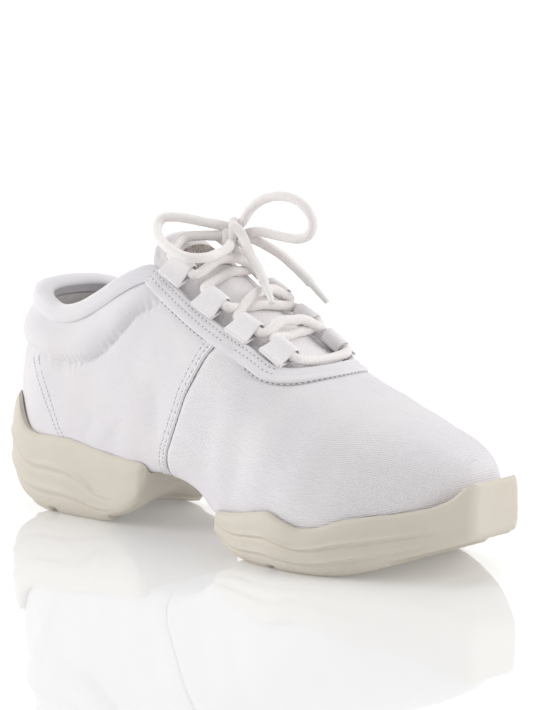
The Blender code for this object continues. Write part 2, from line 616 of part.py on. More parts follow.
def strand(start, end, over):
    """Points of a strand between two loops, over or under the one that it crosses."""
    points = []
    for share in (0.3, 0.5, 0.7):
        place = start + (end - start) * share
        lift = (LACE_DIAMETER / 2 + GAP + (LACE_DIAMETER + GAP if over else 0)) * STRAND_STEEP
        points.append(on_tongue(*place[:2]) + np.array([0, 0, lift]))
    return points


def lace_route():
    """The lace from the knot down through the eight loops, across the front and back up."""
    sides = [LATERAL, MEDIAL, LATERAL, MEDIAL]
    points = [np.array(place) for place in LACE_START]
    for row, side in enumerate(sides):
        points += [through(row, side, place) for place in (-LACE_RUN, 0, LACE_RUN)]
        if row < 3:
            points += strand(points[-1], through(row + 1, -side, -LACE_RUN), True)
    front = (points[-1] + through(3, -sides[3], LACE_RUN)) / 2
    points.append(on_tongue(front[0] + 1.0, 0) + np.array([0, 0, LACE_DIAMETER / 2 + GAP]))
    for row in (3, 2, 1, 0):
        side = -sides[row]
        points += [through(row, side, place) for place in (LACE_RUN, 0, -LACE_RUN)]
        if row > 0:
            points += strand(points[-1], through(row - 1, -side, LACE_RUN), False)
    return np.array([*points, *LACE_FINISH])


# The bow, as the photo shows it: its two loops and its two ends leave the knot
BOW_LATERAL = [
    (99.4, 5.0, 126.0), (97.0, 0.0, 127.2), (93.0, -3.0, 128.2), (86.8, -7.0, 129.1), (82.2, -10.0, 128.5),
    (82.4, -13.7, 125.2), (89.0, -19.0, 121.6), (98.3, -22.7, 118.5), (107.8, -22.5, 116.2),
    (113.4, -17.0, 116.1), (112.9, -8.5, 117.1), (110.9, -1.0, 118.2), (108.8, 2.2, 118.9),
]
BOW_MEDIAL = [
    (108.8, 11.0, 128.6), (110.9, 12.0, 132.4), (116.7, 13.0, 137.1), (124.6, 14.0, 139.4),
    (132.6, 15.0, 138.9), (138.8, 16.0, 135.2), (141.3, 17.0, 129.6), (139.1, 17.0, 124.4),
    (133.5, 16.0, 122.3), (125.0, 15.0, 122.7), (118.0, 13.6, 123.6), (114.6, 12.0, 124.0),
]
END_LATERAL = [(112.4, 6.2, 119.4), (119.2, 3.0, 115.9), (126.4, 0.0, 111.3), (132.0, -2.4, 106.3)]
END_MEDIAL = [
    (112.4, 13.1, 120.1), (118.0, 16.0, 117.3), (124.6, 18.0, 113.6), (131.0, 20.0, 108.4),
    (136.6, 21.0, 103.9),
]
AGLET_LENGTH, AGLET_DIAMETER = 11.5, 3.8


def resample(points, step):
    """A smooth curve through points, with a point at every step."""
    points = np.asarray(points, float)
    padded = np.concatenate([2 * points[:1] - points[1:2], points, 2 * points[-1:] - points[-2:-1]])
    t = np.linspace(0, 1, 24, endpoint=False)[:, None]
    fine = []
    for i in range(len(points) - 1):
        a, b, c, d = padded[i : i + 4]
        bend, twist = 2 * a - 5 * b + 4 * c - d, 3 * b - a - 3 * c + d
        fine.append(b + (c - a) / 2 * t + bend / 2 * t**2 + twist / 2 * t**3)
    fine = np.concatenate([*fine, points[-1:]])
    run = np.concatenate([[0], np.cumsum(np.linalg.norm(np.diff(fine, axis=0), axis=1))])
    count = max(int(round(run[-1] / step)) + 1, 3)
    at = np.linspace(0, run[-1], count)
    return np.stack([np.interp(at, run, fine[:, k]) for k in range(3)], -1)


def make_cord(name, points, diameter, material, collection):
    """A round tube with filled caps along points."""
    curve = bpy.data.curves.new(name, "CURVE")
    curve.dimensions = "3D"
    curve.bevel_depth = diameter / 2 * MM
    curve.bevel_resolution = 2
    curve.use_fill_caps = True
    spline = curve.splines.new("POLY")
    spline.points.add(len(points) - 1)
    for point, place in zip(spline.points, centred(points)):
        point.co = (*place, 1)
    curve.materials.append(material)
    obj = bpy.data.objects.new(name, curve)
    collection.objects.link(obj)
    return obj


def make_knot(material, collection):
    bpy.ops.mesh.primitive_uv_sphere_add(segments=14, ring_count=9, radius=1)
    knot = bpy.context.object
    knot.name = knot.data.name = "lace_knot"
    knot.data.transform(Matrix.Diagonal((KNOT["long"] * MM, KNOT["wide"] * MM, KNOT["high"] * MM, 1)))
    knot.location = centred((KNOT["x"], KNOT["y"], KNOT["z"]))
    knot.data.shade_smooth()
    knot.data.materials.append(material)
    move_to(knot, collection)
    return knot


def make_aglet(name, end, material, collection):
    """The stiff tip that carries on from a lace's end."""
    start, before = np.array(end[-1]), np.array(end[-2])
    direction = unit(start - before + np.array([0, 0, -0.6]))
    middle = start + direction * (GAP + AGLET_LENGTH / 2)
    bpy.ops.mesh.primitive_cylinder_add(
        vertices=12, radius=AGLET_DIAMETER / 2 * MM, depth=AGLET_LENGTH * MM, location=centred(middle)
    )
    aglet = bpy.context.object
    aglet.name = aglet.data.name = name
    aglet.rotation_mode = "QUATERNION"
    aglet.rotation_quaternion = Vector(direction).to_track_quat("Z", "Y")
    aglet.data.materials.append(material)
    move_to(aglet, collection)
    return aglet


def move_to(obj, collection):
    for other in list(obj.users_collection):
        other.objects.unlink(obj)
    collection.objects.link(obj)


def main():
    for obj in list(bpy.data.objects):
        bpy.data.objects.remove(obj)
    parts = bpy.data.collections.new("dance sneaker")
    cutters = bpy.data.collections.new("cutters")
    bpy.context.scene.collection.children.link(parts)
    bpy.context.scene.collection.children.link(cutters)
    canvas = make_material("white canvas", (0.86, 0.85, 0.87), 0.9)
    rubber = make_material("cream rubber", (0.80, 0.76, 0.69), 0.6)
    lining = make_material("lining", (0.72, 0.71, 0.70), 0.95)
    cord = make_material("lace cord", (0.88, 0.87, 0.85), 0.85)
    form = last_form(GAP, cutters)
    fore = make_sole_block("forefoot_sole", FORE_SOLE, FORE_TREAD, [], None, rubber, parts)
    heel = make_sole_block(
        "heel_sole", HEEL_SOLE, HEEL_TREAD, HEEL_TURN, HEEL_SOLE_BACK, rubber, parts
    )
    cut(fore, form)
    cut(heel, form)
    make_upper(canvas, parts)
    make_insole(lining, parts)
    make_tongue(canvas, parts)
    make_band(canvas, parts)
    for side, word in ((LATERAL, "lateral"), (MEDIAL, "medial")):
        make_seam(f"{word}_vamp_seam", side, canvas, parts)
        for row, x in enumerate(LOOP_PLACES):
            make_loop(f"{word}_lace_loop_{row + 1}", x, side, canvas, parts)
    make_cord("lace_crossings", lace_route(), LACE_DIAMETER, cord, parts)
    make_knot(cord, parts)
    for word, bow, end in (("lateral", BOW_LATERAL, END_LATERAL), ("medial", BOW_MEDIAL, END_MEDIAL)):
        make_cord(f"{word}_bow_loop", resample(bow, 5.5), LACE_DIAMETER, cord, parts)
        make_cord(f"{word}_lace_end", resample(end, 6), LACE_DIAMETER, cord, parts)
        make_aglet(f"{word}_aglet", end, cord, parts)


main()
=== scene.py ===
import math

import bmesh
import bpy
import numpy as np
from mathutils import Matrix, Vector


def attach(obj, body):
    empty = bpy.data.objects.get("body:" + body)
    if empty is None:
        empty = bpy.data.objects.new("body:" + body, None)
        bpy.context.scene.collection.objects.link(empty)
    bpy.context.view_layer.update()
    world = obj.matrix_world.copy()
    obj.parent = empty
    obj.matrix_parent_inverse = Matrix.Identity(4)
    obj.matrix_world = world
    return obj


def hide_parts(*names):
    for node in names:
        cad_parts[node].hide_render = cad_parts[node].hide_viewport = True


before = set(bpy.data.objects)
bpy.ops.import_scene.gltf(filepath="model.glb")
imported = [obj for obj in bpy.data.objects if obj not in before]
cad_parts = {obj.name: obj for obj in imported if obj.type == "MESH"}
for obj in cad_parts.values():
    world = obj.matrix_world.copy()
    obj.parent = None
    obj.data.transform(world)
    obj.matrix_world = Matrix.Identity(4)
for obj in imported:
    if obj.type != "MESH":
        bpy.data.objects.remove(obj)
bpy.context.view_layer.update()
print("frame loaded:", len(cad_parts), "nodes")

# The camera stands where the photograph was taken from: angles in degrees, distance in metres
view = dict(
    turn=42.0, rise=10.3, roll=-0.26, distance=1.690, right=0.00393, up=0.0295,
    target=(0, 0.0021, 0.045), lens=207.58, sensor=36, near=0.05, far=60,
)


def makeCamera():
    turn, rise = math.radians(view["turn"]), math.radians(view["rise"])
    back = Vector((math.sin(turn) * math.cos(rise), -math.cos(turn) * math.cos(rise), math.sin(rise)))
    right = Vector((math.cos(turn), math.sin(turn), 0))
    up = back.cross(right)
    camera = bpy.data.objects.new("camera", bpy.data.cameras.new("camera"))
    bpy.context.scene.collection.objects.link(camera)
    at = Vector(view["target"]) + back * view["distance"] + right * view["right"] + up * view["up"]
    axes = Matrix((right, up, back)).transposed()
    spin = Matrix.Rotation(math.radians(-view["roll"]), 3, "Z")
    camera.matrix_world = Matrix.Translation(at) @ (axes @ spin).to_4x4()
    camera.data.lens = view["lens"]
    camera.data.sensor_width = view["sensor"]
    camera.data.clip_start = view["near"]
    camera.data.clip_end = view["far"]
    bpy.context.scene.camera = camera


makeCamera()

# The shoe's own sizes, in millimetres: x from the heel to the toe, +y towards the inner side.
# girthShare is the run at the widest place, and corner how sharply the collar turns into the throat
shoe = dict(
    length=252.0, middle=-2.1, gap=0.35, wall=1.8, collarWall=5.5,
    heel=3.0, toe=246.0, heelRound=34.0, heelPower=2.2, toeRound=52.0, toePower=2.4,
    heelLean=60.0, toeLean=40.0, throatFront=167.0, throatRound=14.0, archFrom=86.0, archTo=143.0,
    girthShare=0.28, corner=30.0, cornerFrom=60.0, cornerTo=100.0, bandWidth=8.8,
)
bodyFrom = shoe["heel"] + shoe["heelRound"]  # where the rounded heel ends
bodyTo = shoe["toe"] - shoe["toeRound"]  # where the rounded toe starts
throatTurn = shoe["throatFront"] - shoe["throatRound"]  # where the throat starts to close
lateral, medial = -1, 1

# Sections of the last: heights of the feather edge, the widest place and the ridge, how square the
# arch above is, the half widths, and how far the foot tucks in
lastRows = [
    dict(x=3, feather=21, girth=42, ridge=128, crown=2.4, lateral=30.5, medial=29.5, tuck=0.10),
    dict(x=25, feather=20.5, girth=42, ridge=132, crown=2.4, lateral=31, medial=30, tuck=0.10),
    dict(x=50, feather=21, girth=44, ridge=134, crown=2.6, lateral=31, medial=29.5, tuck=0.12),
    dict(x=75, feather=22.5, girth=45, ridge=123.5, crown=3.3, lateral=31, medial=29.5, tuck=0.15),
    dict(x=95, feather=25, girth=42.5, ridge=112, crown=3.5, lateral=31.5, medial=30, tuck=0.22),
    dict(x=108, feather=25.5, girth=40, ridge=105, crown=3.4, lateral=32.5, medial=30.7, tuck=0.24),
    dict(x=120, feather=21.5, girth=38, ridge=98.7, crown=3.2, lateral=34, medial=32, tuck=0.20),
    dict(x=130, feather=15.5, girth=35, ridge=94, crown=3.0, lateral=35.7, medial=34, tuck=0.15),
    dict(x=145, feather=11.5, girth=31, ridge=87.5, crown=2.7, lateral=38.8, medial=36.7, tuck=0.10),
    dict(x=165, feather=11, girth=28, ridge=77.3, crown=2.3, lateral=43.2, medial=39.5, tuck=0.09),
    dict(x=185, feather=10.5, girth=26, ridge=69.5, crown=2.2, lateral=44.2, medial=40.5, tuck=0.09),
    dict(x=205, feather=12.5, girth=27, ridge=62.5, crown=2.2, lateral=38.8, medial=39, tuck=0.09),
    dict(x=220, feather=16, girth=29.5, ridge=57.5, crown=2.25, lateral=33.2, medial=37.5, tuck=0.09),
    dict(x=232, feather=19.5, girth=32, ridge=53.5, crown=2.4, lateral=28.5, medial=36.5, tuck=0.09),
    dict(x=246, feather=24, girth=36, ridge=47, crown=2.6, lateral=21, medial=30, tuck=0.09),
]
# How far the back and the toe lean inwards at each height
backRows = [
    dict(z=18, lean=2.5), dict(z=30, lean=0.3), dict(z=44, lean=-0.8), dict(z=53, lean=-0.9),
    dict(z=64, lean=1.0), dict(z=75, lean=3.2), dict(z=85, lean=5.2), dict(z=97, lean=10.0),
    dict(z=130, lean=24.0),
]
toeRows = [
    dict(z=18, lean=2.5), dict(z=28, lean=0.6), dict(z=36, lean=0), dict(z=42, lean=1.5),
    dict(z=49, lean=6.0), dict(z=58, lean=12.0),
]
# The height of the collar's edge, and half the gap between the eyestays
collarRows = [
    dict(x=3, z=95.5), dict(x=12, z=94.5), dict(x=25, z=91.5), dict(x=40, z=88.8), dict(x=51, z=91.5),
    dict(x=61, z=96.7), dict(x=71, z=103.3), dict(x=80, z=109), dict(x=95, z=118),
]
throatRows = [dict(x=70, half=18.5), dict(x=90, half=20.5), dict(x=110, half=22), dict(x=170, half=22)]


def curveAt(rows, key, name, at):
    # a smooth curve through a table's column: cubic between rows, flat beyond the ends
    xs = np.array([row[key] for row in rows], float)
    ys = np.array([row[name] for row in rows], float)
    at = np.clip(np.asarray(at, float), xs[0], xs[-1])
    slopes = np.gradient(ys, xs)
    i = np.clip(np.searchsorted(xs, at, side="right") - 1, 0, len(xs) - 2)
    run = xs[i + 1] - xs[i]
    t = (at - xs[i]) / run
    return (
        ys[i] * (1 + 2 * t) * (1 - t) ** 2
        + ys[i + 1] * t**2 * (3 - 2 * t)
        + run * slopes[i] * t * (1 - t) ** 2
        - run * slopes[i + 1] * t**2 * (1 - t)
    )


def ease(value, start, end):
    # 0 before start, 1 after end, smooth between
    t = np.clip((np.asarray(value, float) - start) / (end - start), 0, 1)
    return t * t * (3 - 2 * t)


def hump(value, width):
    # a bell of height 1 over value 0
    return np.exp(-((value / width) ** 2))


def unit(vectors):
    # vectors shortened or stretched to a length of 1
    return vectors / np.maximum(np.linalg.norm(vectors, axis=-1, keepdims=True), 1e-9)


def runAlong(points):
    # how far each point of a line lies from its start
    return np.concatenate([[0], np.cumsum(np.linalg.norm(np.diff(points, axis=0), axis=1))])


def pointsAt(places, run, line):
    # the points of a line at these distances from its start
    return np.stack([np.interp(places, run, line[:, k]) for k in range(3)], -1)


def heelStations(count):
    # places along the rounded heel, spaced by the cosine of a turn
    return shoe["heel"] + shoe["heelRound"] * (1 - np.cos(np.linspace(0, math.pi / 2, count)))


def throatStations(count):
    # places round the front of the throat, spaced by the sine of a turn
    return shoe["throatFront"] - shoe["throatRound"] * (1 - np.sin(np.linspace(0, math.pi / 2, count)))[1:]


def toeStations(count):
    # places along the rounded toe, spaced by the sine of a turn
    return bodyTo + shoe["toeRound"] * np.sin(np.linspace(0, math.pi / 2, count))[1:]


def lastPoint(x, side, run, grow=0.0):
    # a section rises from the feather edge (run 0) round the girth and over a squarish arch to
    # the ridge (run 1); the heel and the toe narrow as rounded ends, and lean with the height
    x, run = np.broadcast_arrays(np.asarray(x, float), np.asarray(run, float))
    heel = np.clip((shoe["heel"] + shoe["heelRound"] - x) / shoe["heelRound"], 0, 1)
    toe = np.clip((x - shoe["toe"] + shoe["toeRound"]) / shoe["toeRound"], 0, 1)
    narrowed = (1 - heel ** shoe["heelPower"]) ** (1 / shoe["heelPower"])
    narrowed = narrowed * (1 - toe ** shoe["toePower"]) ** (1 / shoe["toePower"])
    width = curveAt(lastRows, "x", "lateral" if side == lateral else "medial", x) * narrowed + grow
    foot = width * (1 - curveAt(lastRows, "x", "tuck", x))
    low = curveAt(lastRows, "x", "feather", x) - grow
    mid = curveAt(lastRows, "x", "girth", x)
    rise = curveAt(lastRows, "x", "ridge", x) + grow - mid
    crown = curveAt(lastRows, "x", "crown", x)
    share = shoe["girthShare"]
    below = np.clip(run / share, 0, 1) * math.pi / 2
    above = np.clip((run - share) / (1 - share), 0, 1) * math.pi / 2
    c, s = np.cos(above), np.sin(above)
    reach = (c**crown + s**crown) ** (1 / crown)
    y = np.where(run < share, foot + (width - foot) * np.sin(below), width * c / reach)
    z = np.where(run < share, low + (mid - low) * (1 - np.cos(below)), mid + rise * s / reach)
    back = np.clip(1 - (x - shoe["heel"]) / shoe["heelLean"], 0, 1)
    front = np.clip((x - shoe["toe"] + shoe["toeLean"]) / shoe["toeLean"], 0, 1)
    lean = curveAt(backRows, "z", "lean", z) * back**2 - curveAt(toeRows, "z", "lean", z) * front**2
    stretch = grow * ((x - shoe["heel"]) / (shoe["toe"] - shoe["heel"]) * 2 - 1)
    return np.stack([x + lean + stretch, side * y, z], -1)


def throatHalf(x):
    # half the gap between the eyestays, closing as a quarter circle round the front
    closing = np.clip((x - shoe["throatFront"] + shoe["throatRound"]) / shoe["throatRound"], 0, 1)
    return curveAt(throatRows, "x", "half", x) * np.sqrt(1 - closing**2)


def edgeRun(x, side):
    # the run where a section meets the collar's or the throat's edge: the angle at which the squarish
    # arch has that height or that width, and a smooth minimum of both round the corner
    x = np.asarray(x, float)
    crown = curveAt(lastRows, "x", "crown", x)
    mid = curveAt(lastRows, "x", "girth", x)
    rise = curveAt(lastRows, "x", "ridge", x) - mid
    width = curveAt(lastRows, "x", "lateral" if side == lateral else "medial", x)

    def runAt(share):
        share = np.clip(share, 0, 1)
        angle = np.arctan2(share, (1 - share**crown) ** (1 / crown))
        return shoe["girthShare"] + (1 - shoe["girthShare"]) * angle / (math.pi / 2)

    collar = runAt((curveAt(collarRows, "x", "z", x) - mid) / rise)
    share = np.clip(throatHalf(x) / width, 0, 1)
    throat = runAt((1 - share**crown) ** (1 / crown))
    k = shoe["corner"]
    both = -np.log(np.exp(-k * collar) + np.exp(-k * throat)) / k
    run = np.where(x > shoe["cornerTo"], throat, np.where(x < shoe["cornerFrom"], collar, both))
    return np.where(x >= shoe["throatFront"], 1.0, run)


# The collar's pad swells between its sewn line and the band
pad = dict(swell=2.4, front=96.0, fade=20.0, thin=15.0, rise=8.0, slope=0.86)
padRows = [
    dict(x=3, low=70), dict(x=25, low=68), dict(x=45, low=66), dict(x=58, low=68),
    dict(x=67, low=73), dict(x=76, low=81), dict(x=86, low=91), dict(x=98, low=98),
]


def padWall(x):
    # 1 where the collar's wall is thick, 0 in front of the pad
    return np.clip((pad["front"] - x) / pad["thin"], 0, 1)


def padSwell(x, z):
    # half a sine wave between the sewn line and the band, gone at the front of the pad
    low = curveAt(padRows, "x", "low", x)
    high = curveAt(collarRows, "x", "z", x) - shoe["bandWidth"]
    share = np.clip((z - low) / np.maximum(high - low, 1), 0, 1)
    return pad["swell"] * np.sin(math.pi * share) * np.clip((pad["front"] - x) / pad["fade"], 0, 1)


def skinPoint(x, side, run, lift=0.0):
    # the upper's outer face, which is the last moved out by the pad's swell and a lift, and its
    # outward direction, which is square to two short steps over the last
    x, run = np.broadcast_arrays(np.asarray(x, float), np.asarray(run, float))
    step = np.where(x > shoe["toe"] - 1, -0.02, 0.02)
    rise = np.where(run > 0.99, -0.002, 0.002)
    here = lastPoint(x, side, run)
    along = (lastPoint(x + step, side, run) - here) / step[..., None]
    up = (lastPoint(x, side, run + rise) - here) / rise[..., None]
    out = unit(np.cross(along, up) * -side)
    closed = (x <= shoe["heel"]) | (x >= shoe["toe"]) | (run >= 1)
    out[..., 1] = np.where(closed, 0.0, out[..., 1])
    out = unit(out)
    moved = here + out * (padSwell(x, here[..., 2]) + lift)[..., None]
    moved[..., 1] = np.where(closed, 0.0, moved[..., 1])
    return moved, out


def toFrame(points):
    # millimetres from the heel to the frame's metres
    return (np.asarray(points, float) - np.array([shoe["length"] / 2, shoe["middle"], 0])) * 0.001


def newPiece(name, mesh, materials, replaced=(), sharp=None):
    # an object for a mesh, which rides on the shoe's one body
    for material in materials:
        mesh.materials.append(material)
    mesh.shade_smooth()
    if sharp is not None:
        mesh.set_sharp_from_angle(angle=math.radians(sharp))
    piece = bpy.data.objects.new(name, mesh)
    bpy.context.scene.collection.objects.link(piece)
    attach(piece, "root")
    if replaced:
        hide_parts(*replaced)
    return piece


def gridFaces(rows, columns, start=0, flip=False):
    # the quads between the rows and columns of a grid of points
    index = start + np.arange(rows * columns).reshape(rows, columns)
    quads = np.stack([index[:-1, :-1], index[:-1, 1:], index[1:, 1:], index[1:, :-1]], -1).reshape(-1, 4)
    return quads[:, ::-1] if flip else quads


def mergeDoubles(mesh, merge=0.004):
    # points closer than this many millimetres become one, which closes seams and poles
    work = bmesh.new()
    work.from_mesh(mesh)
    bmesh.ops.remove_doubles(work, verts=work.verts, dist=merge * 0.001)
    bmesh.ops.dissolve_degenerate(work, edges=work.edges, dist=merge * 0.001)
    work.to_mesh(mesh)
    work.free()
    return mesh


def meshFrom(name, points, faces, uv=None, values=None, merge=0.004):
    # points in shoe millimetres, quads, a uv and named numbers for each point
    mesh = bpy.data.meshes.new(name)
    points = np.asarray(points, float).reshape(-1, 3)
    faces = np.asarray(faces, int)
    mesh.vertices.add(len(points))
    mesh.vertices.foreach_set("co", toFrame(points).astype(np.float32).ravel())
    mesh.loops.add(faces.size)
    mesh.loops.foreach_set("vertex_index", faces.ravel())
    mesh.polygons.add(len(faces))
    mesh.polygons.foreach_set("loop_start", np.arange(0, faces.size, faces.shape[1]))
    mesh.update(calc_edges=True)
    if uv is not None:
        layer = mesh.uv_layers.new(name="cloth")
        corners = np.asarray(uv, float).reshape(-1, 2)[faces.ravel()]
        layer.data.foreach_set("uv", corners.astype(np.float32).ravel())
    for key, value in (values or {}).items():
        attribute = mesh.attributes.new(key, "FLOAT", "POINT")
        attribute.data.foreach_set("value", np.asarray(value, np.float32).ravel())
    return mergeDoubles(mesh, merge)


def solidify(piece, thickness, group=None, least=1.0, inner=0):
    # a wall grown inwards, in millimetres; a group of points thins it down to a least share
    wall = piece.modifiers.new("wall", "SOLIDIFY")
    wall.thickness = thickness * 0.001
    wall.offset = -1
    wall.use_quality_normals = True
    wall.material_offset = inner
    if group:
        wall.vertex_group = group
        wall.thickness_vertex_group = least


def smoothPath(points, step):
    # a curve through points, cubic between each pair, with a point at every step
    points = np.asarray(points, float)
    padded = np.concatenate([2 * points[:1] - points[1:2], points, 2 * points[-1:] - points[-2:-1]])
    a, b, c, d = (padded[k : k + len(points) - 1, None] for k in range(4))
    t = np.linspace(0, 1, 24, endpoint=False)[None, :, None]
    cubic = (3 * b - a - 3 * c + d) * t**3
    fine = 0.5 * (2 * b + (c - a) * t + (2 * a - 5 * b + 4 * c - d) * t**2 + cubic)
    fine = np.concatenate([fine.reshape(-1, 3), points[-1:]])
    run = runAlong(fine)
    return pointsAt(np.linspace(0, run[-1], max(int(round(run[-1] / step)) + 1, 3)), run, fine)


def ringFrames(path):
    # directions across a path that turn as little as they can from point to point: each is the one
    # before it, less its part along the path
    tangent = unit(np.gradient(path, axis=0))
    across = np.zeros_like(path)
    across[0] = unit(np.cross(tangent[0], (0.1, 0.2, 1.0)))
    for i in range(1, len(path)):
        across[i] = unit(across[i - 1] - tangent[i] * (across[i - 1] @ tangent[i]))
    return tangent, across, np.cross(tangent, across)


def tubeGrid(path, radius, sides, squash=1.0):
    # path + radius * (cosine of the turn * across + squash * sine of the turn * the other way);
    # four shrinking rings close each end as a low dome
    path = np.asarray(path, float)
    tangent, across, other = ringFrames(path)
    radius = np.broadcast_to(np.asarray(radius, float), (len(path),))
    caps = np.radians([90, 65, 40, 20])
    dome = 0.6 * np.sin(caps)[:, None]
    first = path[0] - tangent[0] * dome * radius[0]
    final = path[-1] + tangent[-1] * dome[::-1] * radius[-1]
    run = np.pad(runAlong(path), 4, "edge")
    path = np.concatenate([first, path, final])
    radius = np.concatenate([np.cos(caps) * radius[0], radius, np.cos(caps[::-1]) * radius[-1]])
    across = np.pad(across, ((4, 4), (0, 0)), "edge")[:, None]
    other = np.pad(other, ((4, 4), (0, 0)), "edge")[:, None]
    turn = np.linspace(0, 2 * math.pi, sides + 1)
    ring = np.cos(turn)[None, :, None] * across + squash * np.sin(turn)[None, :, None] * other
    points = path[:, None] + ring * radius[:, None, None]
    uv = np.stack(np.broadcast_arrays(run[:, None], turn[None] / (2 * math.pi)), -1)
    return points.reshape(-1, 3), gridFaces(len(path), sides + 1, flip=True), uv.reshape(-1, 2)


def joinGrids(name, grids):
    # several grids of points, quads and maps as one mesh
    starts = np.cumsum([0] + [len(grid[0]) for grid in grids[:-1]])
    points = np.concatenate([grid[0] for grid in grids])
    faces = np.concatenate([grid[1] + start for grid, start in zip(grids, starts)])
    uv = np.concatenate([grid[2] for grid in grids])
    return meshFrom(name, points, faces, uv, merge=0.001)


class Shade:
    # a socket in a node tree; sums and products of these add Math nodes
    def __init__(self, tree, socket):
        self.tree = tree
        self.socket = socket

    def maths(self, operation, *values):
        return self.tree.node("ShaderNodeMath", dict(operation=operation), values)

    def __add__(self, other):
        return self.maths("ADD", self, other)

    def __radd__(self, other):
        return self.maths("ADD", other, self)

    def __sub__(self, other):
        return self.maths("SUBTRACT", self, other)

    def __rsub__(self, other):
        return self.maths("SUBTRACT", other, self)

    def __mul__(self, other):
        return self.maths("MULTIPLY", self, other)

    def __rmul__(self, other):
        return self.maths("MULTIPLY", other, self)

    def sine(self):
        return self.maths("SINE", self)

    def most(self, other):
        return self.maths("MAXIMUM", self, other)

    def over(self, low, high):
        # 0 at low and 1 at high, smooth between
        settings = dict(clamp=True, interpolation_type="SMOOTHSTEP")
        values = {"Value": self, "From Min": low, "From Max": high}
        return self.tree.node("ShaderNodeMapRange", settings, values)


class NodeTree:
    # the nodes of a material or of the world
    def __init__(self, owner):
        owner.use_nodes = True
        self.nodes = owner.node_tree.nodes
        self.links = owner.node_tree.links

    def feed(self, socket, value):
        if isinstance(value, Shade):
            self.links.new(value.socket, socket)
        else:
            socket.default_value = value

    def node(self, kind, settings=None, inputs=None, output=0):
        made = self.nodes.new(kind)
        for key, value in (settings or {}).items():
            setattr(made, key, value)
        pairs = inputs.items() if isinstance(inputs, dict) else enumerate(inputs or [])
        for key, value in pairs:
            self.feed(made.inputs[key], value)
        return Shade(self, made.outputs[output])


class Finish(NodeTree):
    # one material and its nodes
    def __init__(self, name, colour, roughness, **constants):
        self.material = bpy.data.materials.new(name)
        super().__init__(self.material)
        self.surface = self.nodes["Principled BSDF"]
        self.set("Base Color", (*colour, 1))
        self.set("Roughness", roughness)
        for key, value in constants.items():
            self.set(key.replace("_", " "), value)
        self.material.diffuse_color = (*colour, 1)

    def set(self, name, value):
        self.feed(self.surface.inputs[name], value)

    def place(self):
        return self.node("ShaderNodeTexCoord", output="Object")

    def cloth(self):
        # the piece's own map, in millimetres: along, and up or round
        spot = self.node("ShaderNodeUVMap", dict(uv_map="cloth"))
        return [self.node("ShaderNodeSeparateXYZ", None, [spot], k) for k in (0, 1)]

    def named(self, name):
        return self.node("ShaderNodeAttribute", dict(attribute_name=name), output="Fac")

    def noise(self, vector, scale, detail, roughness=0.5):
        values = {"Vector": vector, "Scale": scale, "Detail": detail, "Roughness": roughness}
        return self.node("ShaderNodeTexNoise", dict(noise_dimensions="3D"), values)

    def mix(self, factor, first, second):
        # a colour between two others; the sockets are the node's colour ones
        first, second = (c if isinstance(c, Shade) else (*c, 1) for c in (first, second))
        return self.node("ShaderNodeMix", dict(data_type="RGBA"), {0: factor, 6: first, 7: second}, 2)

    def bump(self, height, distance, strength):
        # distance in millimetres
        values = {"Height": height, "Strength": strength, "Distance": distance * 0.001}
        return self.node("ShaderNodeBump", None, values)


# Base colours, and the tones that they are mixed with
colours = dict(
    # the tongue's canvas is painted lighter than the rest, to offset the shade that falls on it
    canvas=(0.80, 0.78, 0.80), band=(0.815, 0.80, 0.82), tongue=(0.90, 0.875, 0.88),
    # the rubber's darker colour near the floor is painted shade
    rubber=(0.67, 0.62, 0.54), rubberShade=(0.64, 0.59, 0.51), paintedFloorShade=(0.52, 0.47, 0.40),
    webbing=(0.89, 0.862, 0.872), webbingShade=(0.70, 0.68, 0.68),
    lace=(0.88, 0.84, 0.825), laceShade=(0.70, 0.67, 0.65),
    lining=(0.82, 0.79, 0.775), liningShade=(0.72, 0.685, 0.665),
    patch=(0.40, 0.36, 0.34), patchDark=(0.22, 0.17, 0.15), patchLight=(0.62, 0.57, 0.53),
    # the needle holes' dark colour is painted shade
    thread=(0.86, 0.855, 0.87), needleHoleShade=(0.34, 0.32, 0.33), tip=(0.80, 0.79, 0.77),
)
# Pitches of the threads, in millimetres; the lean of the slanting ones, and strands round the lace
weaves = dict(slant=1.5, lean=1.6, webbingRib=0.95, webbingPick=0.5, braid=1.9, strands=6)


def canvasFinish(name, colour, ribs=1.0, pitch=1.0, height=0.12):
    # cotton twill: a sine wave across its ribs and one along its slanting threads, both broken up by noise,
    # and fine fuzz. The vamp shows its ribs more than the quarter. The colour drifts between a warm and a
    # cool tint, and painted shade darkens it between the ribs
    made = Finish(name, colour, 0.85, Specular_IOR_Level=0.25, Sheen_Weight=0.12, Sheen_Roughness=0.5)
    along, up = made.cloth()
    place = made.place()
    wander = made.noise(place, 60, 2)
    rows = (up * (2 * math.pi / pitch) + wander * 1.6).sine()
    slant = ((along + up * weaves["lean"]) * (2 * math.pi / weaves["slant"]) + wander * 1.5).sine()
    fuzz = made.noise(place, 1900, 3, 0.6)
    vamp = made.named("vamp")
    broken = made.noise(place, 300, 2).over(0.15, 0.6)
    weave = rows * (broken * 0.5 + 0.5) * (vamp * 0.65 + 0.1) * ribs
    weave = weave + slant * broken * (0.4 - vamp * 0.3) + fuzz * 0.5
    slow = made.noise(place, 34, 1)
    made.set("Normal", made.bump(weave, height, 0.8))
    cool = tuple(c * k for c, k in zip(colour, (0.972, 0.967, 0.985)))
    warm = tuple(c * k for c, k in zip(colour, (1.0, 0.99, 0.98)))
    tint = made.mix(slow.over(0.25, 0.75), warm, cool)
    # painted shade: a darker copy of the colour between the ribs, stronger on the vamp
    paintedRibShade = (0.5 - rows * 0.5 * (vamp * 0.8 + 0.2)) * 0.07
    made.set("Base Color", made.mix(paintedRibShade, tint, tuple(c * 0.84 for c in colour)))
    made.set("Roughness", fuzz.over(0.2, 0.8) * 0.12 + 0.8)
    return made.material


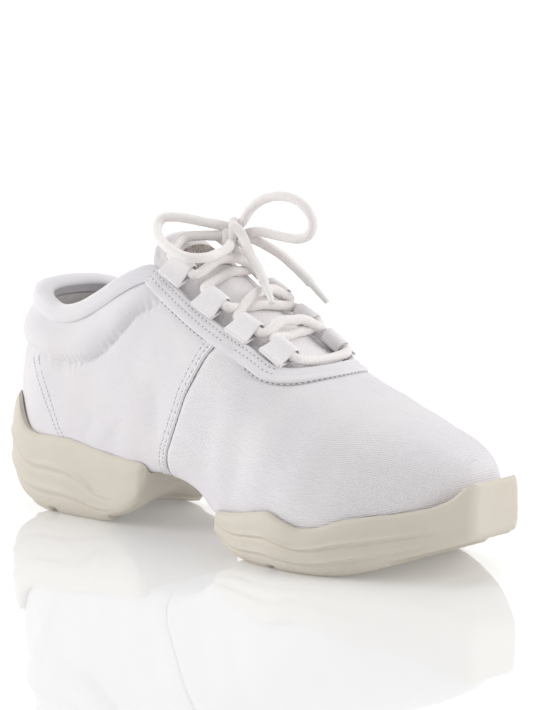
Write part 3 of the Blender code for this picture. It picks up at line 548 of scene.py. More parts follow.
def rubberFinish():
    # cream rubber, matt from the mould, with faint mottling, and painted shade, broken up by noise, within 12
    # mm of the floor
    cream = colours["rubber"]
    made = Finish("cream rubber", cream, 0.5, Specular_IOR_Level=0.35)
    place = made.place()
    slow = made.noise(place, 30, 4)
    grain = made.noise(place, 1500, 3, 0.6)
    height = made.node("ShaderNodeSeparateXYZ", None, [place], output=2)
    # painted shade: darker within 12 mm of the floor, in patches set by noise
    paintedFloorShade = (1 - height.over(0.0, 0.012)) * made.noise(place, 260, 4, 0.7).over(0.45, 0.75)
    tone = made.mix(slow.over(0.35, 0.65), cream, colours["rubberShade"])
    made.set("Base Color", made.mix(paintedFloorShade * 0.35, tone, colours["paintedFloorShade"]))
    made.set("Roughness", grain.over(0.3, 0.7) * 0.14 + 0.46)
    made.set("Normal", made.bump(grain, 0.05, 0.35))
    return made.material


def webbingFinish():
    # woven tape: a sine wave across its run, plus the same wave times a finer one along it; painted shade
    # darkens it between its ribs
    white = colours["webbing"]
    made = Finish("white webbing", white, 0.7, Specular_IOR_Level=0.3, Sheen_Weight=0.15)
    along, across = made.cloth()
    ribs = (across * (2 * math.pi / weaves["webbingRib"])).sine()
    picks = (along * (2 * math.pi / weaves["webbingPick"])).sine()
    weave = ribs * 0.7 + ribs.sine() * picks * 0.4
    made.set("Normal", made.bump(weave, 0.09, 0.8))
    # painted shade between the ribs
    made.set("Base Color", made.mix((0.5 - ribs * 0.5) * 0.10, white, colours["webbingShade"]))
    return made.material


def laceFinish():
    # a round braid: the higher of two sine waves that wind round the cord in opposite ways, with painted
    # shade in the grooves between its strands
    white = colours["lace"]
    made = Finish("braided lace", white, 0.75, Specular_IOR_Level=0.3, Sheen_Weight=0.3)
    along, turn = made.cloth()
    run = along * (2 * math.pi / weaves["braid"])
    around = turn * (2 * math.pi * weaves["strands"])
    braid = (run + around).sine().most((run - around).sine())
    fuzz = made.noise(made.place(), 2400, 2)
    made.set("Normal", made.bump(braid * 0.7 + fuzz * 0.6, 0.10, 0.7))
    # painted shade where the braid is low, between its strands
    made.set("Base Color", made.mix((1 - braid).over(0.2, 1.6) * 0.12, white, colours["laceShade"]))
    return made.material


def liningFinish():
    # brushed textile inside the shoe: fine noise for its knit, slow noise for its tone
    grey = colours["lining"]
    made = Finish("lining", grey, 0.95, Specular_IOR_Level=0.15, Sheen_Weight=0.4)
    place = made.place()
    knit = made.noise(place, 900, 3, 0.6)
    slow = made.noise(place, 60, 2)
    made.set("Normal", made.bump(knit, 0.2, 0.6))
    made.set("Base Color", made.mix(slow.over(0.3, 0.7) * 0.6 + knit * 0.2, grey, colours["liningShade"]))
    return made.material


def patchFinish():
    # a plain woven patch: noise between the colours of its dark and its light threads
    made = Finish("speckled patch", colours["patch"], 0.9, Specular_IOR_Level=0.2)
    speck = made.noise(made.place(), 1900, 2, 0.7)
    tone = made.mix(speck.over(0.40, 0.60), colours["patchDark"], colours["patchLight"])
    made.set("Base Color", tone)
    made.set("Normal", made.bump(speck, 0.15, 0.7))
    return made.material


canvas = canvasFinish("white canvas", colours["canvas"])
bandCloth = canvasFinish("band canvas", colours["band"], ribs=0.6, pitch=0.7)
rubber = rubberFinish()
webbing = webbingFinish()
laceBraid = laceFinish()
# painted light: the same canvas in a lighter colour, to offset the shade on the tongue
paintedLightTongueCloth = canvasFinish("tongue canvas painted light", colours["tongue"], ribs=0.6, pitch=0.8, height=0.15)
lining = liningFinish()
patch = patchFinish()
thread = Finish("thread", colours["thread"], 0.6, Specular_IOR_Level=0.3).material
# painted shade: a dark colour for the discs that stand for the shade in the needle holes
needleHoleShade = Finish("needle hole shade", colours["needleHoleShade"], 0.9).material
tip = Finish("clear tip", colours["tip"], 0.42, Coat_Weight=0.15, Coat_Roughness=0.3).material
print("materials made")

# Stitches: a short bar of thread between two needle holes
stitch = dict(
    share=0.72, radius=0.24, arch=0.9, flat=0.8, sink=0.05, hole=0.30, holeLength=1.3, holeLift=0.04,
)
holeQuads = np.array([[0, 1, 2, 3], [0, 3, 4, 7], [4, 5, 6, 7]])


def barQuads(count, rows, sides):
    # the quads of bars that are made of rows of rings
    ring = np.arange(sides)
    after = (ring + 1) % sides
    quads = np.stack([ring, after, after + sides, ring + sides], -1)
    quads = (quads + (np.arange(rows - 1) * sides)[:, None, None]).reshape(-1, 4)
    return (quads + (np.arange(count) * rows * sides)[:, None, None]).reshape(-1, 4)


def stitchRow(line, out, pitch, radius=stitch["radius"], hole=stitch["hole"]):
    # each bar is a six-sided ring drawn along half a sine wave, and swells towards its middle; each
    # needle hole is a disc, longer along the line than across it
    run = runAlong(line)
    count = max(int(run[-1] / pitch), 1)
    middles = (np.arange(count) + 0.5) * run[-1] / count
    half = pitch * stitch["share"] / 2
    first = pointsAt(middles - half, run, line)
    final = pointsAt(middles + half, run, line)
    up = pointsAt(middles, run, out)
    beside = np.cross(up, unit(final - first))
    share = np.linspace(0, 1, 5)[:, None]
    rise = np.sin(share * math.pi) * radius * stitch["arch"] - stitch["sink"]
    centre = first[:, None] * (1 - share) + final[:, None] * share + up[:, None] * rise
    turn = np.linspace(0, 2 * math.pi, 7)[:-1, None]
    ring = np.cos(turn) * beside[:, None] + np.sin(turn) * up[:, None] * stitch["flat"]
    swell = np.array([0, 0.8, 1.0, 0.8, 0])[:, None, None]
    bars = centre[:, :, None] + ring[:, None] * swell * radius
    places = np.arange(count + 1) * run[-1] / count
    centre = pointsAt(places, run, line)
    up = pointsAt(places, run, out)
    ahead = unit(np.gradient(centre, axis=0))
    beside = np.cross(up, ahead)
    turn = np.linspace(0, 2 * math.pi, 9)[:-1, None]
    rim = np.cos(turn) * ahead[:, None] * stitch["holeLength"] + np.sin(turn) * beside[:, None]
    discs = centre[:, None] + rim * hole + up[:, None] * stitch["holeLift"]
    return bars.reshape(-1, 3), barQuads(count, 5, 6), discs.reshape(-1, 3)


def sewnRows(name, rows):
    # joins rows of stitches into one piece of thread and one of dark discs, painted as the shade in the
    # needle holes
    bars, quads, discs = zip(*(stitchRow(line, out, **options) for line, out, options in rows))
    starts = np.cumsum([0] + [len(part) for part in bars[:-1]])
    quads = np.concatenate([part + start for part, start in zip(quads, starts)])
    mesh = meshFrom(name + "Thread", np.concatenate(bars), quads, merge=0.0001)
    newPiece(name + "Thread", mesh, [thread])
    discs = np.concatenate(discs)
    quads = holeQuads + (np.arange(len(discs) // 8) * 8)[:, None, None]
    mesh = meshFrom(name + "HoleShades", discs, quads.reshape(-1, 4), merge=0.0001)
    newPiece(name + "HoleShades", mesh, [needleHoleShade])


# Where the seam between quarter and vamp runs
seamRows = [
    dict(run=0.03, x=102), dict(run=0.185, x=104), dict(run=0.29, x=107.6), dict(run=0.34, x=110.4),
    dict(run=0.393, x=113.5), dict(run=0.444, x=116.3), dict(run=0.5, x=120.2), dict(run=0.556, x=123.6),
    dict(run=0.607, x=126.3), dict(run=0.66, x=129.3),
]
# Soft wrinkles: a trough or ridge between two places of the side (x, run), its width and height
wrinkles = [
    dict(x=145, run=0.62, toX=136, toRun=0.22, width=5.5, height=0.8),
    dict(x=156, run=0.64, toX=149, toRun=0.26, width=5.0, height=-0.7),
    dict(x=167, run=0.60, toX=163, toRun=0.28, width=5.5, height=0.35),
    dict(x=176, run=0.72, toX=182, toRun=0.36, width=6.0, height=-0.35),
    dict(x=66, run=0.21, toX=76, toRun=0.30, width=2.6, height=0.45),
    dict(x=56, run=0.20, toX=63, toRun=0.28, width=2.4, height=-0.35),
    dict(x=98, run=0.44, toX=100, toRun=0.10, width=5.0, height=-0.6),
    dict(x=84, run=0.42, toX=80, toRun=0.12, width=7.0, height=0.5),
    dict(x=112, run=0.57, toX=96, toRun=0.50, width=4.0, height=-0.4),
    dict(x=206, run=0.55, toX=226, toRun=0.46, width=6.0, height=-0.3),
]
runToMillimetres = 105.0
# The upper's relief, in millimetres outwards
relief = dict(
    padGroove=1.15, grooveWidth=1.5, padPucker=0.55, puckerPitch=2.7, puckerFade=2.6,
    bandTuck=0.35, tuckWidth=1.3, seamPuff=1.5, seamFold=0.3, foldWidth=0.8, slow=0.22,
)


def seamDistance(x, run):
    # how far in front of the seam's line a place lies
    return x - curveAt(seamRows, "run", "x", run)


def padDistance(x, z):
    # the height above the pad's sewn line, shortened to a distance over the skin
    return (z - curveAt(padRows, "x", "low", x)) * pad["slope"]


def upperRelief(x, side, run, z, bandAway):
    # a sum of bells and waves: a bell across each wrinkle's line, faded at both its ends; a bell-shaped
    # groove at the pad's sewn line, with puckers as a wandering sine wave that fades away from it; a
    # groove beside the band; cloth that puffs up in front of the seam and folds in at it; slow waves
    raised = np.zeros_like(z)
    for w in wrinkles:
        span = np.array([w["toX"] - w["x"], (w["toRun"] - w["run"]) * runToMillimetres])
        away = np.stack([x - w["x"], (run - w["run"]) * runToMillimetres], -1)
        share = np.clip(away @ span / (span @ span), -0.15, 1.15)
        across = np.linalg.norm(away - share[..., None] * span, axis=-1)
        shown = ease(share, -0.15, 0.25) * (1 - ease(share, 0.75, 1.15))
        raised += w["height"] * hump(across, w["width"]) * shown
    padded = np.clip((pad["front"] + 4 - x) / 8, 0, 1)
    d = padDistance(x, z)
    raised -= relief["padGroove"] * hump(d, relief["grooveWidth"]) * padded
    pucker = np.sin(x * 2 * math.pi / relief["puckerPitch"] + 1.7 * np.sin(x * 0.31) + z * 0.25)
    raised += relief["padPucker"] * pucker * np.exp(-np.abs(d) / relief["puckerFade"]) * padded
    raised -= relief["bandTuck"] * hump(bandAway - bandWidth(x), relief["tuckWidth"])
    s = seamDistance(x, run)
    onSide = 1 - ease(run, 0.66, 0.76)
    raised += relief["seamPuff"] * ease(s, 0.2, 3.4) * (1 - ease(s, 5.0, 22.0)) * onSide
    raised -= relief["seamFold"] * hump(s - 0.3, relief["foldWidth"]) * onSide
    slow = np.sin(x * 0.13 + 3 * run) * np.sin(z * 0.17 + x * 0.021)
    slow = slow + 0.6 * np.sin(x * 0.31 - z * 0.12 + side)
    raised += relief["slow"] * slow * ease(run, 0.02, 0.12) * (1 - ease(x, 225, 244)) * ease(x, 6, 20)
    return raised


# Lines at growing distances from the upper's edge: its rounded back, points, reach and steps
march = dict(back=26.0, count=26, reach=11.0, steps=22, near=0.05, nearRun=0.004)


def edgePath(side):
    # places along the collar's and the throat's edge of one side, back to front
    count = march["count"]
    back = march["back"] * (1 - np.cos(np.linspace(0, math.pi / 2, count)))[:-1]
    straight = np.linspace(shoe["heel"] + march["back"], throatTurn, 3 * count)
    x = np.concatenate([shoe["heel"] + back, straight, throatStations(count)])
    return x, edgeRun(x, side)


def marchFromEdge(side):
    # each step moves the line over the skin, square to the edge; two equations split the step into
    # a move along x and one along the run
    x, run = edgePath(side)
    here, _ = skinPoint(x, side, run)
    along = np.gradient(here, axis=0)
    along[0] = (0, side, 0)
    along[-1, 0] = along[-1, 2] = 0
    along = unit(along)
    xs, runs = [x.copy()], [run.copy()]
    near, nearRun = march["near"], march["nearRun"]
    for _ in range(march["steps"]):
        here = lastPoint(x, side, run)
        behind = np.where(x > shoe["heel"] + near, near, 0.0)
        byX = lastPoint(x + near, side, run) - lastPoint(x - behind, side, run)
        byX = byX / (near + behind)[:, None]
        byRun = (here - lastPoint(x, side, run - nearRun)) / nearRun
        out = unit(np.cross(byX, byRun) * -side)
        down = np.cross(out, along) * side * (march["reach"] / march["steps"])
        a, b, c = (byX * byX).sum(1), (byX * byRun).sum(1), (byRun * byRun).sum(1)
        p, q = (byX * down).sum(1), (byRun * down).sum(1)
        scale = a * c - b * b
        moveX, moveRun = (c * p - b * q) / scale, (a * q - b * p) / scale
        moveX[0], moveRun[-1] = 0, 0
        x, run = np.maximum(x + moveX, shoe["heel"]), np.clip(run + moveRun, 0, 1)
        run[-1] = 1.0
        xs.append(x.copy())
        runs.append(run.copy())
    return np.array(xs), np.array(runs), np.linspace(0, march["reach"], march["steps"] + 1)


edgeLines = {side: marchFromEdge(side) for side in (lateral, medial)}


def bandWidth(x):
    # the band is narrower along the cuff than up the eyestays
    return shoe["bandWidth"] * (0.78 + 0.22 * ease(x, 72, 98))


def lineAt(side, distance, lift=0.0):
    # the line at this distance from the edge where the band is widest, nearer where it is narrower,
    # and its outward directions
    xs, runs, distances = edgeLines[side]
    width = bandWidth(xs[0]) / shoe["bandWidth"]
    k = np.interp(distance * width, distances, np.arange(len(distances)))
    low = np.minimum(k.astype(int), len(distances) - 2)
    part, at = k - low, np.arange(len(low))
    x = xs[low, at] * (1 - part) + xs[low + 1, at] * part
    run = runs[low, at] * (1 - part) + runs[low + 1, at] * part
    points, out = skinPoint(x, side, run, lift)
    return x, points, out


def awayFromEdge(side, here):
    # how far each point of the upper lies from the collar's and the throat's edge
    xs, runs, _ = edgeLines[side]
    line, _ = skinPoint(xs[0], side, runs[0])
    return np.min([np.linalg.norm(here - place, axis=-1) for place in line], 0)


def makeUpper():
    # a grid for each side, of places along the foot and equal shares of the run up to the edge: the
    # outer face plus its relief along the outward direction. A third grid spans the arch in straight
    # lines. The wall grows inwards, thick where the collar is padded
    columns = np.concatenate([
        heelStations(30), np.linspace(bodyFrom, throatTurn, 118)[1:], throatStations(14),
        np.linspace(shoe["throatFront"], bodyTo, 22)[1:], toeStations(34),
    ])
    rows, archRows, mapApart, archMap = 64, 25, 400, 60
    points, faces, maps, padding, inFront = [], [], [], [], []
    for side in (lateral, medial):
        run = np.linspace(0, 1, rows)[:, None] * edgeRun(columns, side)[None]
        x = np.broadcast_to(columns[None], run.shape)
        here, out = skinPoint(x, side, run)
        raised = upperRelief(x, side, run, here[..., 2], awayFromEdge(side, here))
        closed = (x <= shoe["heel"]) | (x >= shoe["toe"]) | (run >= 1)
        raised = raised * np.where(closed, 0.0, 1.0)
        faces.append(gridFaces(rows, len(columns), len(points) * run.size, side == medial))
        points.append(here + out * raised[..., None])
        rise = np.cumsum(np.linalg.norm(np.diff(here, axis=0, prepend=here[:1]), axis=-1), 0)
        maps.append(np.stack([x + side * mapApart, rise], -1))
        low = curveAt(padRows, "x", "low", x)
        padding.append(np.clip((here[..., 2] - low) / pad["rise"], 0, 1) * padWall(x))
        vamp = ease(seamDistance(x, np.minimum(run, 0.66)), 0.3, 1.5)
        inFront.append(vamp * (1 - 0.85 * ease(run, 0.62, 0.97)))
    arch = np.nonzero((columns >= shoe["archFrom"]) & (columns <= shoe["archTo"]))[0]
    share = np.linspace(0, 1, archRows)[:, None, None]
    under = points[0][0, arch] * (1 - share) + points[1][0, arch] * share
    faces.append(gridFaces(archRows, len(arch), 2 * rows * len(columns), True))
    across = share[..., 0] * archMap - archMap
    maps.append(np.stack(np.broadcast_arrays(columns[arch][None], across), -1))
    allPoints = np.concatenate([p.reshape(-1, 3) for p in (*points, under)])
    uv = np.concatenate([m.reshape(-1, 2) for m in maps])
    none = np.zeros(under.shape[:2])
    named = dict(padding=(*padding, none), vamp=(*inFront, none))
    named = {key: np.concatenate([part.ravel() for part in parts]) for key, parts in named.items()}
    mesh = meshFrom("upperCanvas", allPoints, np.concatenate(faces), uv, named)
    piece = newPiece("upperCanvas", mesh, [canvas, lining], ["upper"])
    group = piece.vertex_groups.new(name="padding")
    values = np.zeros(len(mesh.vertices), np.float32)
    mesh.attributes["padding"].data.foreach_get("value", values)
    for level in np.unique(np.round(values, 2)):
        chosen = np.nonzero(np.abs(values - level) <= 0.005)[0].tolist()
        group.add(chosen, float(level), "REPLACE")
    solidify(piece, shoe["collarWall"], "padding", shoe["wall"] / shoe["collarWall"], inner=1)


makeUpper()
print("upper made")

# The band: a soft roll round the collar that flattens into a tape up the eyestays, with two rows of
# stitches on the tape and one beside it
band = dict(
    roll=1.2, rollBase=0.15, tape=1.0, tapeBase=0.2, lip=1.6, lipHigh=1.6, rollHigh=0.7, inside=7.5,
    cover=0.25, cloth=0.7, rollTo=72.0, tapeFrom=98.0, rows=(2.6, 5.2), rowsFrom=(80.0, 86.0),
    rowsTo=158.0, press=0.28, pressWidth=0.55, besideFrom=97.0, beside=0.35,
)


def makeBand():
    # a profile drawn along the edge: up over the outer face, as a quarter of a sine wave where it is a
    # roll and as a root that soon stays level where it is a tape; round the lip as half an ellipse;
    # and down the inner face, where it thins out
    halves = {}
    for side in (lateral, medial):
        rows = []
        for distance in np.concatenate([[8.8, 8.75, 8.6, 8.3, 7.9], np.linspace(7.4, band["lip"], 11)]):
            x, points, out = lineAt(side, distance)
            tape = ease(x, band["rollTo"], band["tapeFrom"])
            inward = shoe["bandWidth"] - distance
            share = np.clip(inward / shoe["bandWidth"], 0, 1)
            roll = np.sin(np.minimum(share * 2.2, 1) * math.pi / 2) ** 0.8
            roll = band["rollBase"] + band["roll"] * roll
            press = band["press"] * sum(hump(distance - row, band["pressWidth"]) for row in band["rows"])
            flat = band["tapeBase"] + band["tape"] * np.minimum(inward / 0.6, 1) ** 0.5 - press
            rows.append(points + out * (roll * (1 - tape) + flat * tape)[:, None])
        x, points, out = lineAt(side, band["lip"])
        tape = ease(x, band["rollTo"], band["tapeFrom"])
        lift = (band["rollBase"] + band["roll"]) * (1 - tape) + (band["tapeBase"] + band["tape"]) * tape
        wall = np.maximum(shoe["collarWall"] * (1 - tape) * padWall(x), shoe["wall"]) + band["cover"]
        beyond = unit(lineAt(side, 0.0)[1] - points)
        radius = (wall + lift * 2) / 2
        centre = points - out * (wall / 2)[:, None]
        high = np.minimum(radius, band["lipHigh"] + band["rollHigh"] * (1 - tape))
        for angle in np.radians(np.linspace(12, 180, 13)):
            over = beyond * (high * math.sin(angle))[:, None]
            rows.append(centre + out * (radius * math.cos(angle))[:, None] + over)
        for distance in np.linspace(2.4, band["inside"], 6):
            x, points, out = lineAt(side, distance)
            deep = wall + lift * (1 - 0.6 * (distance / band["inside"]))
            rows.append(points - out * deep[:, None])
        half = np.array(rows)
        half[:, [0, -1], 1] = 0
        halves[side] = half
    points = np.concatenate([halves[lateral], halves[medial][:, ::-1]], 1)
    along, across = runAlong(points[0]), runAlong(points[:, 60])
    uv = np.stack(np.broadcast_arrays(along[None], across[:, None]), -1)
    mesh = meshFrom("collarBand", points, gridFaces(*points.shape[:2]), uv)
    piece = newPiece("collarBand", mesh, [bandCloth], ["collar_and_eyestay_band"])
    solidify(piece, band["cloth"])
    rows = []
    for side in (lateral, medial):
        for distance, start in zip(band["rows"], band["rowsFrom"]):
            x, line, out = lineAt(side, distance, band["tape"] + 0.02)
            kept = (x > start) & (x < band["rowsTo"])
            rows.append((line[kept], out[kept], dict(pitch=2.2, hole=0.25)))
        x, line, out = lineAt(side, shoe["bandWidth"] + band["beside"], 0.12)
        kept = x > band["besideFrom"]
        rows.append((line[kept], out[kept], dict(pitch=2.4)))
    sewnRows("band", rows)


makeBand()
print("band made")


# The seam between quarter and vamp: a strip with two rows of stitches and a folded ridge
seam = dict(
    back=-4.8, full=-4.4, front=0.5, low=0.03, high=0.655, base=0.1, lift=0.6, ridge=0.3,
    rows=(-3.6, -1.5), press=0.2, cloth=0.4,
)
# The two rows of stitches round the heel's counter: their middle line, their ends and their distances
counterRows = [
    dict(run=0.120, x=48.6), dict(run=0.150, x=46.4), dict(run=0.213, x=42.6), dict(run=0.231, x=41.2),
    dict(run=0.276, x=38.5), dict(run=0.308, x=35.7), dict(run=0.341, x=32.9), dict(run=0.368, x=30.1),
    dict(run=0.400, x=26.8), dict(run=0.450, x=22.6),
]
counter = dict(low=0.13, high=0.405, steps=(0.6, -1.2), radius=0.2, hole=0.27)


def makeSeams():
    # the strip follows the seam's line on the skin: it rises as an ease at its back, falls as one at
    # its front, has a bell for the ridge, and bells pressed in for the stitches; a fine sine wave
    # along it makes it uneven
    rows = []
    for side, word in ((lateral, "lateral"), (medial, "medial")):
        run = np.linspace(seam["low"], seam["high"], 100)[:, None]
        back = [seam["back"], seam["back"] + 0.12]
        s = np.concatenate([back, np.linspace(seam["full"], seam["front"], 30)])[None]
        middle = curveAt(seamRows, "run", "x", run)
        rise = ease(s, seam["back"] - 0.1, seam["full"]) * (1 - ease(s, -0.1, seam["front"] + 0.3))
        lift = seam["base"] + seam["lift"] * rise + seam["ridge"] * hump(s + 0.35, 0.45)
        for row in seam["rows"]:
            lift = lift - seam["press"] * hump(s - row, 0.5)
        lift = lift + 0.08 * np.sin(run * 260) * hump(s + 1, 3.5)
        points, _ = skinPoint(middle + s, side, run, lift)
        uv = np.stack(np.broadcast_arrays(middle + s, run * runToMillimetres), -1)
        mesh = meshFrom(word + "SeamStrip", points, gridFaces(*points.shape[:2], flip=side == medial), uv)
        piece = newPiece(word + "SeamStrip", mesh, [bandCloth], [word + "_vamp_seam"])
        solidify(piece, seam["cloth"])
        lift = seam["base"] + seam["lift"] - seam["press"]
        for row in seam["rows"]:
            places, out = skinPoint(middle[:, 0] + row, side, run[:, 0], lift)
            rows.append((places, out, dict(pitch=2.0)))
    sewnRows("seam", rows)


def makeCounterStitches():
    # the heel counter shows as two rows of stitches that close up towards the sole
    rows = []
    for side in (lateral, medial):
        run = np.linspace(counter["low"], counter["high"], 62)
        for step in counter["steps"]:
            apart = step * (1.1 + 1.3 * ease(run, 0.15, 0.45))
            x = curveAt(counterRows, "run", "x", run) + apart
            here, out = skinPoint(x, side, run)
            raised = upperRelief(x, side, run, here[:, 2], np.full_like(x, 99.0))
            options = dict(pitch=2.0, radius=counter["radius"], hole=counter["hole"])
            rows.append((here + out * raised[:, None], out, options))
    sewnRows("counter", rows)


makeSeams()
makeCounterStitches()
print("seams and stitches made")

# The tongue: half width, and how far its middle stands above the last
tongueRows = [
    dict(x=82, half=14.5, bulge=5.5), dict(x=84, half=17.5, bulge=6.5), dict(x=88, half=19, bulge=7),
    dict(x=95, half=20, bulge=6.5), dict(x=106, half=23.5, bulge=5.5), dict(x=118, half=25, bulge=3.5),
    dict(x=130, half=25, bulge=2), dict(x=145, half=25, bulge=0.3), dict(x=165, half=24, bulge=0),
    dict(x=173, half=20, bulge=0),
]
tongue = dict(
    depth=3.2, thickness=3.0, eyestayHalf=19.0, round=1.3,
    groove=0.5, grooveWidth=0.7, sideRow=3.2, topRow=85.4, wave=0.25,
)
tonguePatch = dict(start=92.0, end=103.5, low=-12.0, high=14.0, lift=0.35, base=0.05, thickness=0.3)


def tongueTop(x, y):
    # a squarish arch just below the last, raised to a low hump between the eyestays
    x, y = np.broadcast_arrays(np.asarray(x, float), np.asarray(y, float))
    crown = curveAt(lastRows, "x", "crown", x)
    mid = curveAt(lastRows, "x", "girth", x)
    rise = curveAt(lastRows, "x", "ridge", x) - tongue["depth"] - mid
    outer = curveAt(lastRows, "x", "lateral", x) - tongue["depth"]
    inner = curveAt(lastRows, "x", "medial", x) - tongue["depth"]
    share = np.clip(np.abs(y) / np.where(y < 0, outer, inner), 0, 0.98)
    raised = curveAt(tongueRows, "x", "bulge", x) * np.clip(1 - (y / tongue["eyestayHalf"]) ** 2, 0, 1)
    return mid + rise * (1 - share**crown) ** (1 / crown) + raised


def makeTongue():
    # the tongue's top less a bell-shaped groove for the stitches at each side and at its end, and
    # less a slow sine wave under the laces
    start, end = tongueRows[0]["x"], tongueRows[-1]["x"]
    x = np.concatenate([np.linspace(start, start + 10, 14), np.linspace(start + 11, end, 64)])
    y = np.linspace(-1, 1, 49)[:, None] * curveAt(tongueRows, "x", "half", x)[None]
    x = np.broadcast_to(x, y.shape)
    edge = curveAt(tongueRows, "x", "half", x) - np.abs(y)
    sewn = hump(edge - tongue["sideRow"], tongue["grooveWidth"])
    sewnEnd = hump(x - tongue["topRow"], tongue["grooveWidth"]) * (edge > 3)
    z = tongueTop(x, y) - tongue["groove"] * sewn - tongue["groove"] * sewnEnd
    z = z - tongue["wave"] * np.sin(x * 0.55 + y * 0.08) * ease(x, 100, 110)
    mesh = meshFrom("tonguePad", np.stack([x, y, z], -1), gridFaces(*y.shape), np.stack([y, x], -1))
    piece = newPiece("tonguePad", mesh, [paintedLightTongueCloth], ["tongue"])
    solidify(piece, tongue["thickness"])
    soft = piece.modifiers.new("soft edge", "BEVEL")
    soft.width = tongue["round"] * 0.001
    soft.segments = 3
    soft.limit_method = "ANGLE"
    soft.angle_limit = math.radians(50)


def makeTonguePatch():
    # the tongue's top, raised by an ease from the patch's rim inwards
    p = tonguePatch
    x = np.linspace(p["start"], p["end"], 30)[None]
    y = np.linspace(p["low"], p["high"], 36)[:, None]
    x, y = np.broadcast_arrays(x, y)
    rim = np.minimum(np.minimum(x - p["start"], p["end"] - x), np.minimum(y - p["low"], p["high"] - y))
    z = tongueTop(x, y) + p["lift"] * ease(rim, -0.2, 0.8) + p["base"]
    mesh = meshFrom("tonguePatch", np.stack([x, y, z], -1), gridFaces(*x.shape), np.stack([y, x], -1))
    piece = newPiece("tonguePatch", mesh, [patch])
    solidify(piece, p["thickness"])


makeTongue()
makeTonguePatch()
print("tongue made")

# Lace loops: tape folded round the lace, four on each eyestay
loop = dict(
    places=(97.0, 116.0, 134.5, 151.5), width=11.5, node=10.0, wall=0.8, clear=0.4, reach=10.6,
    inset=1.2, raised=1.25, tilt=0.8, root=-1.8, rootRise=-0.9, sag=0.5, flare=1.08, narrowing=0.02,
)
lace = dict(
    diameter=4.2, gap=0.35, steep=1.2, sides=18, step=1.0, wander=0.025, beyond=2.5, frontShift=1.0,
    crossing=(0.3, 0.5, 0.7),
)
loop["height"] = lace["diameter"] + 2 * loop["clear"] + 2 * loop["wall"]
lace["run"] = loop["node"] / 2 + lace["beyond"]
# Across the tape: a share of its width and a depth, over the outer face and back along the inner one
loopProfile = [
    (-0.5, 0.4), (-0.485, 0.12), (-0.44, 0.0), (-0.2, -0.03), (0.0, -0.05), (0.2, -0.03), (0.44, 0.0),
    (0.485, 0.12), (0.5, 0.4), (0.485, 0.68), (0.44, 0.8), (0.0, 0.8), (-0.44, 0.8), (-0.485, 0.68),
    (-0.5, 0.4),
]


def onTongue(x, y):
    # a point of the tongue's top
    return np.array([x, y, float(tongueTop(x, y))])


def loopFrame(x, side):
    # where a loop leaves the eyestay, and its directions along the edge, inwards and up; it stands as
    # high as the tongue under it needs
    ends = np.array([-0.5, 0.5]) * loop["node"]
    half = float(np.min(throatHalf(x + ends))) - loop["inset"]
    foot = onTongue(x, side * half)
    slope = onTongue(x, side * (half - loop["reach"])) - foot
    slope[2] *= loop["tilt"]
    along = unit(onTongue(x + 2, side * half) - foot)
    inward = unit(slope - along * (slope @ along))
    up = np.cross(along, inward) * -side
    line = foot + inward * (np.linspace(0.15, 0.9, 6) * loop["reach"])[:, None]
    rise = float(np.max(tongueTop(line[:, 0], line[:, 1]) - line[:, 2])) / up[2]
    return foot + up * (rise + loop["raised"]), along, inward, up


def tapeOutline(depth):
    # a drop-shaped section: an arc round the lace, and straight lines from there to the eyestay, the
    # upper one sagging as half a sine wave
    radius = loop["height"] / 2 - depth
    middle = loop["reach"] - loop["height"] / 2
    turn = np.radians(np.linspace(-105, 105, 19))
    ahead = np.stack([middle + radius * np.cos(turn), radius * np.sin(turn)], -1)
    share = np.linspace(0, 1, 12)[1:, None]
    root = np.array([[loop["root"], loop["rootRise"] + loop["wall"] - depth]])
    top = ahead[-1] * (1 - share) + root * share
    top[:, 1] -= loop["sag"] * np.sin(share[:, 0] * math.pi)
    foot = np.array([[loop["root"], loop["rootRise"] - loop["wall"] + depth]])
    bottom = foot * (1 - share) + ahead[0] * share
    return np.concatenate([ahead, top, foot, bottom])


def makeLoops():
    # the drop-shaped outline, repeated at each place across the tape; the width grows in a straight
    # line from the lace to the eyestay
    for side, word in ((lateral, "lateral"), (medial, "medial")):
        grids = []
        for x in loop["places"]:
            foot, along, inward, up = loopFrame(x, side)
            rings, maps = [], []
            for place, depth in loopProfile:
                outline = tapeOutline(depth)
                flare = loop["flare"] - loop["narrowing"] * outline[:, :1]
                edge = foot + along * place * loop["width"] * flare
                rings.append(edge + inward * outline[:, :1] + up * (loop["height"] / 2 + outline[:, 1:]))
                maps.append(np.stack([runAlong(outline), np.full(len(outline), place * loop["width"])], -1))
            points = np.array(rings)
            faces = gridFaces(*points.shape[:2], flip=side == medial)
            grids.append((points.reshape(-1, 3), faces, np.concatenate(maps)))
        mesh = joinGrids(word + "Loops", grids)
        newPiece(word + "Loops", mesh, [webbing], [f"{word}_lace_loop_{k}" for k in (1, 2, 3, 4)])


def through(row, side, place):
    # a point of the lace in a loop, at a place along it from its middle
    foot, along, inward, up = loopFrame(loop["places"][row], side)
    return foot + along * place + inward * (loop["reach"] - loop["height"] / 2) + up * loop["height"] / 2


def strand(start, end, over):
    # points of a strand between two loops, over or under the one that it crosses
    lift = lace["diameter"] / 2 + lace["gap"] + (lace["diameter"] + lace["gap"] if over else 0)
    places = [start + (end - start) * share for share in lace["crossing"]]
    return [onTongue(*place[:2]) + np.array([0, 0, lift * lace["steep"]]) for place in places]


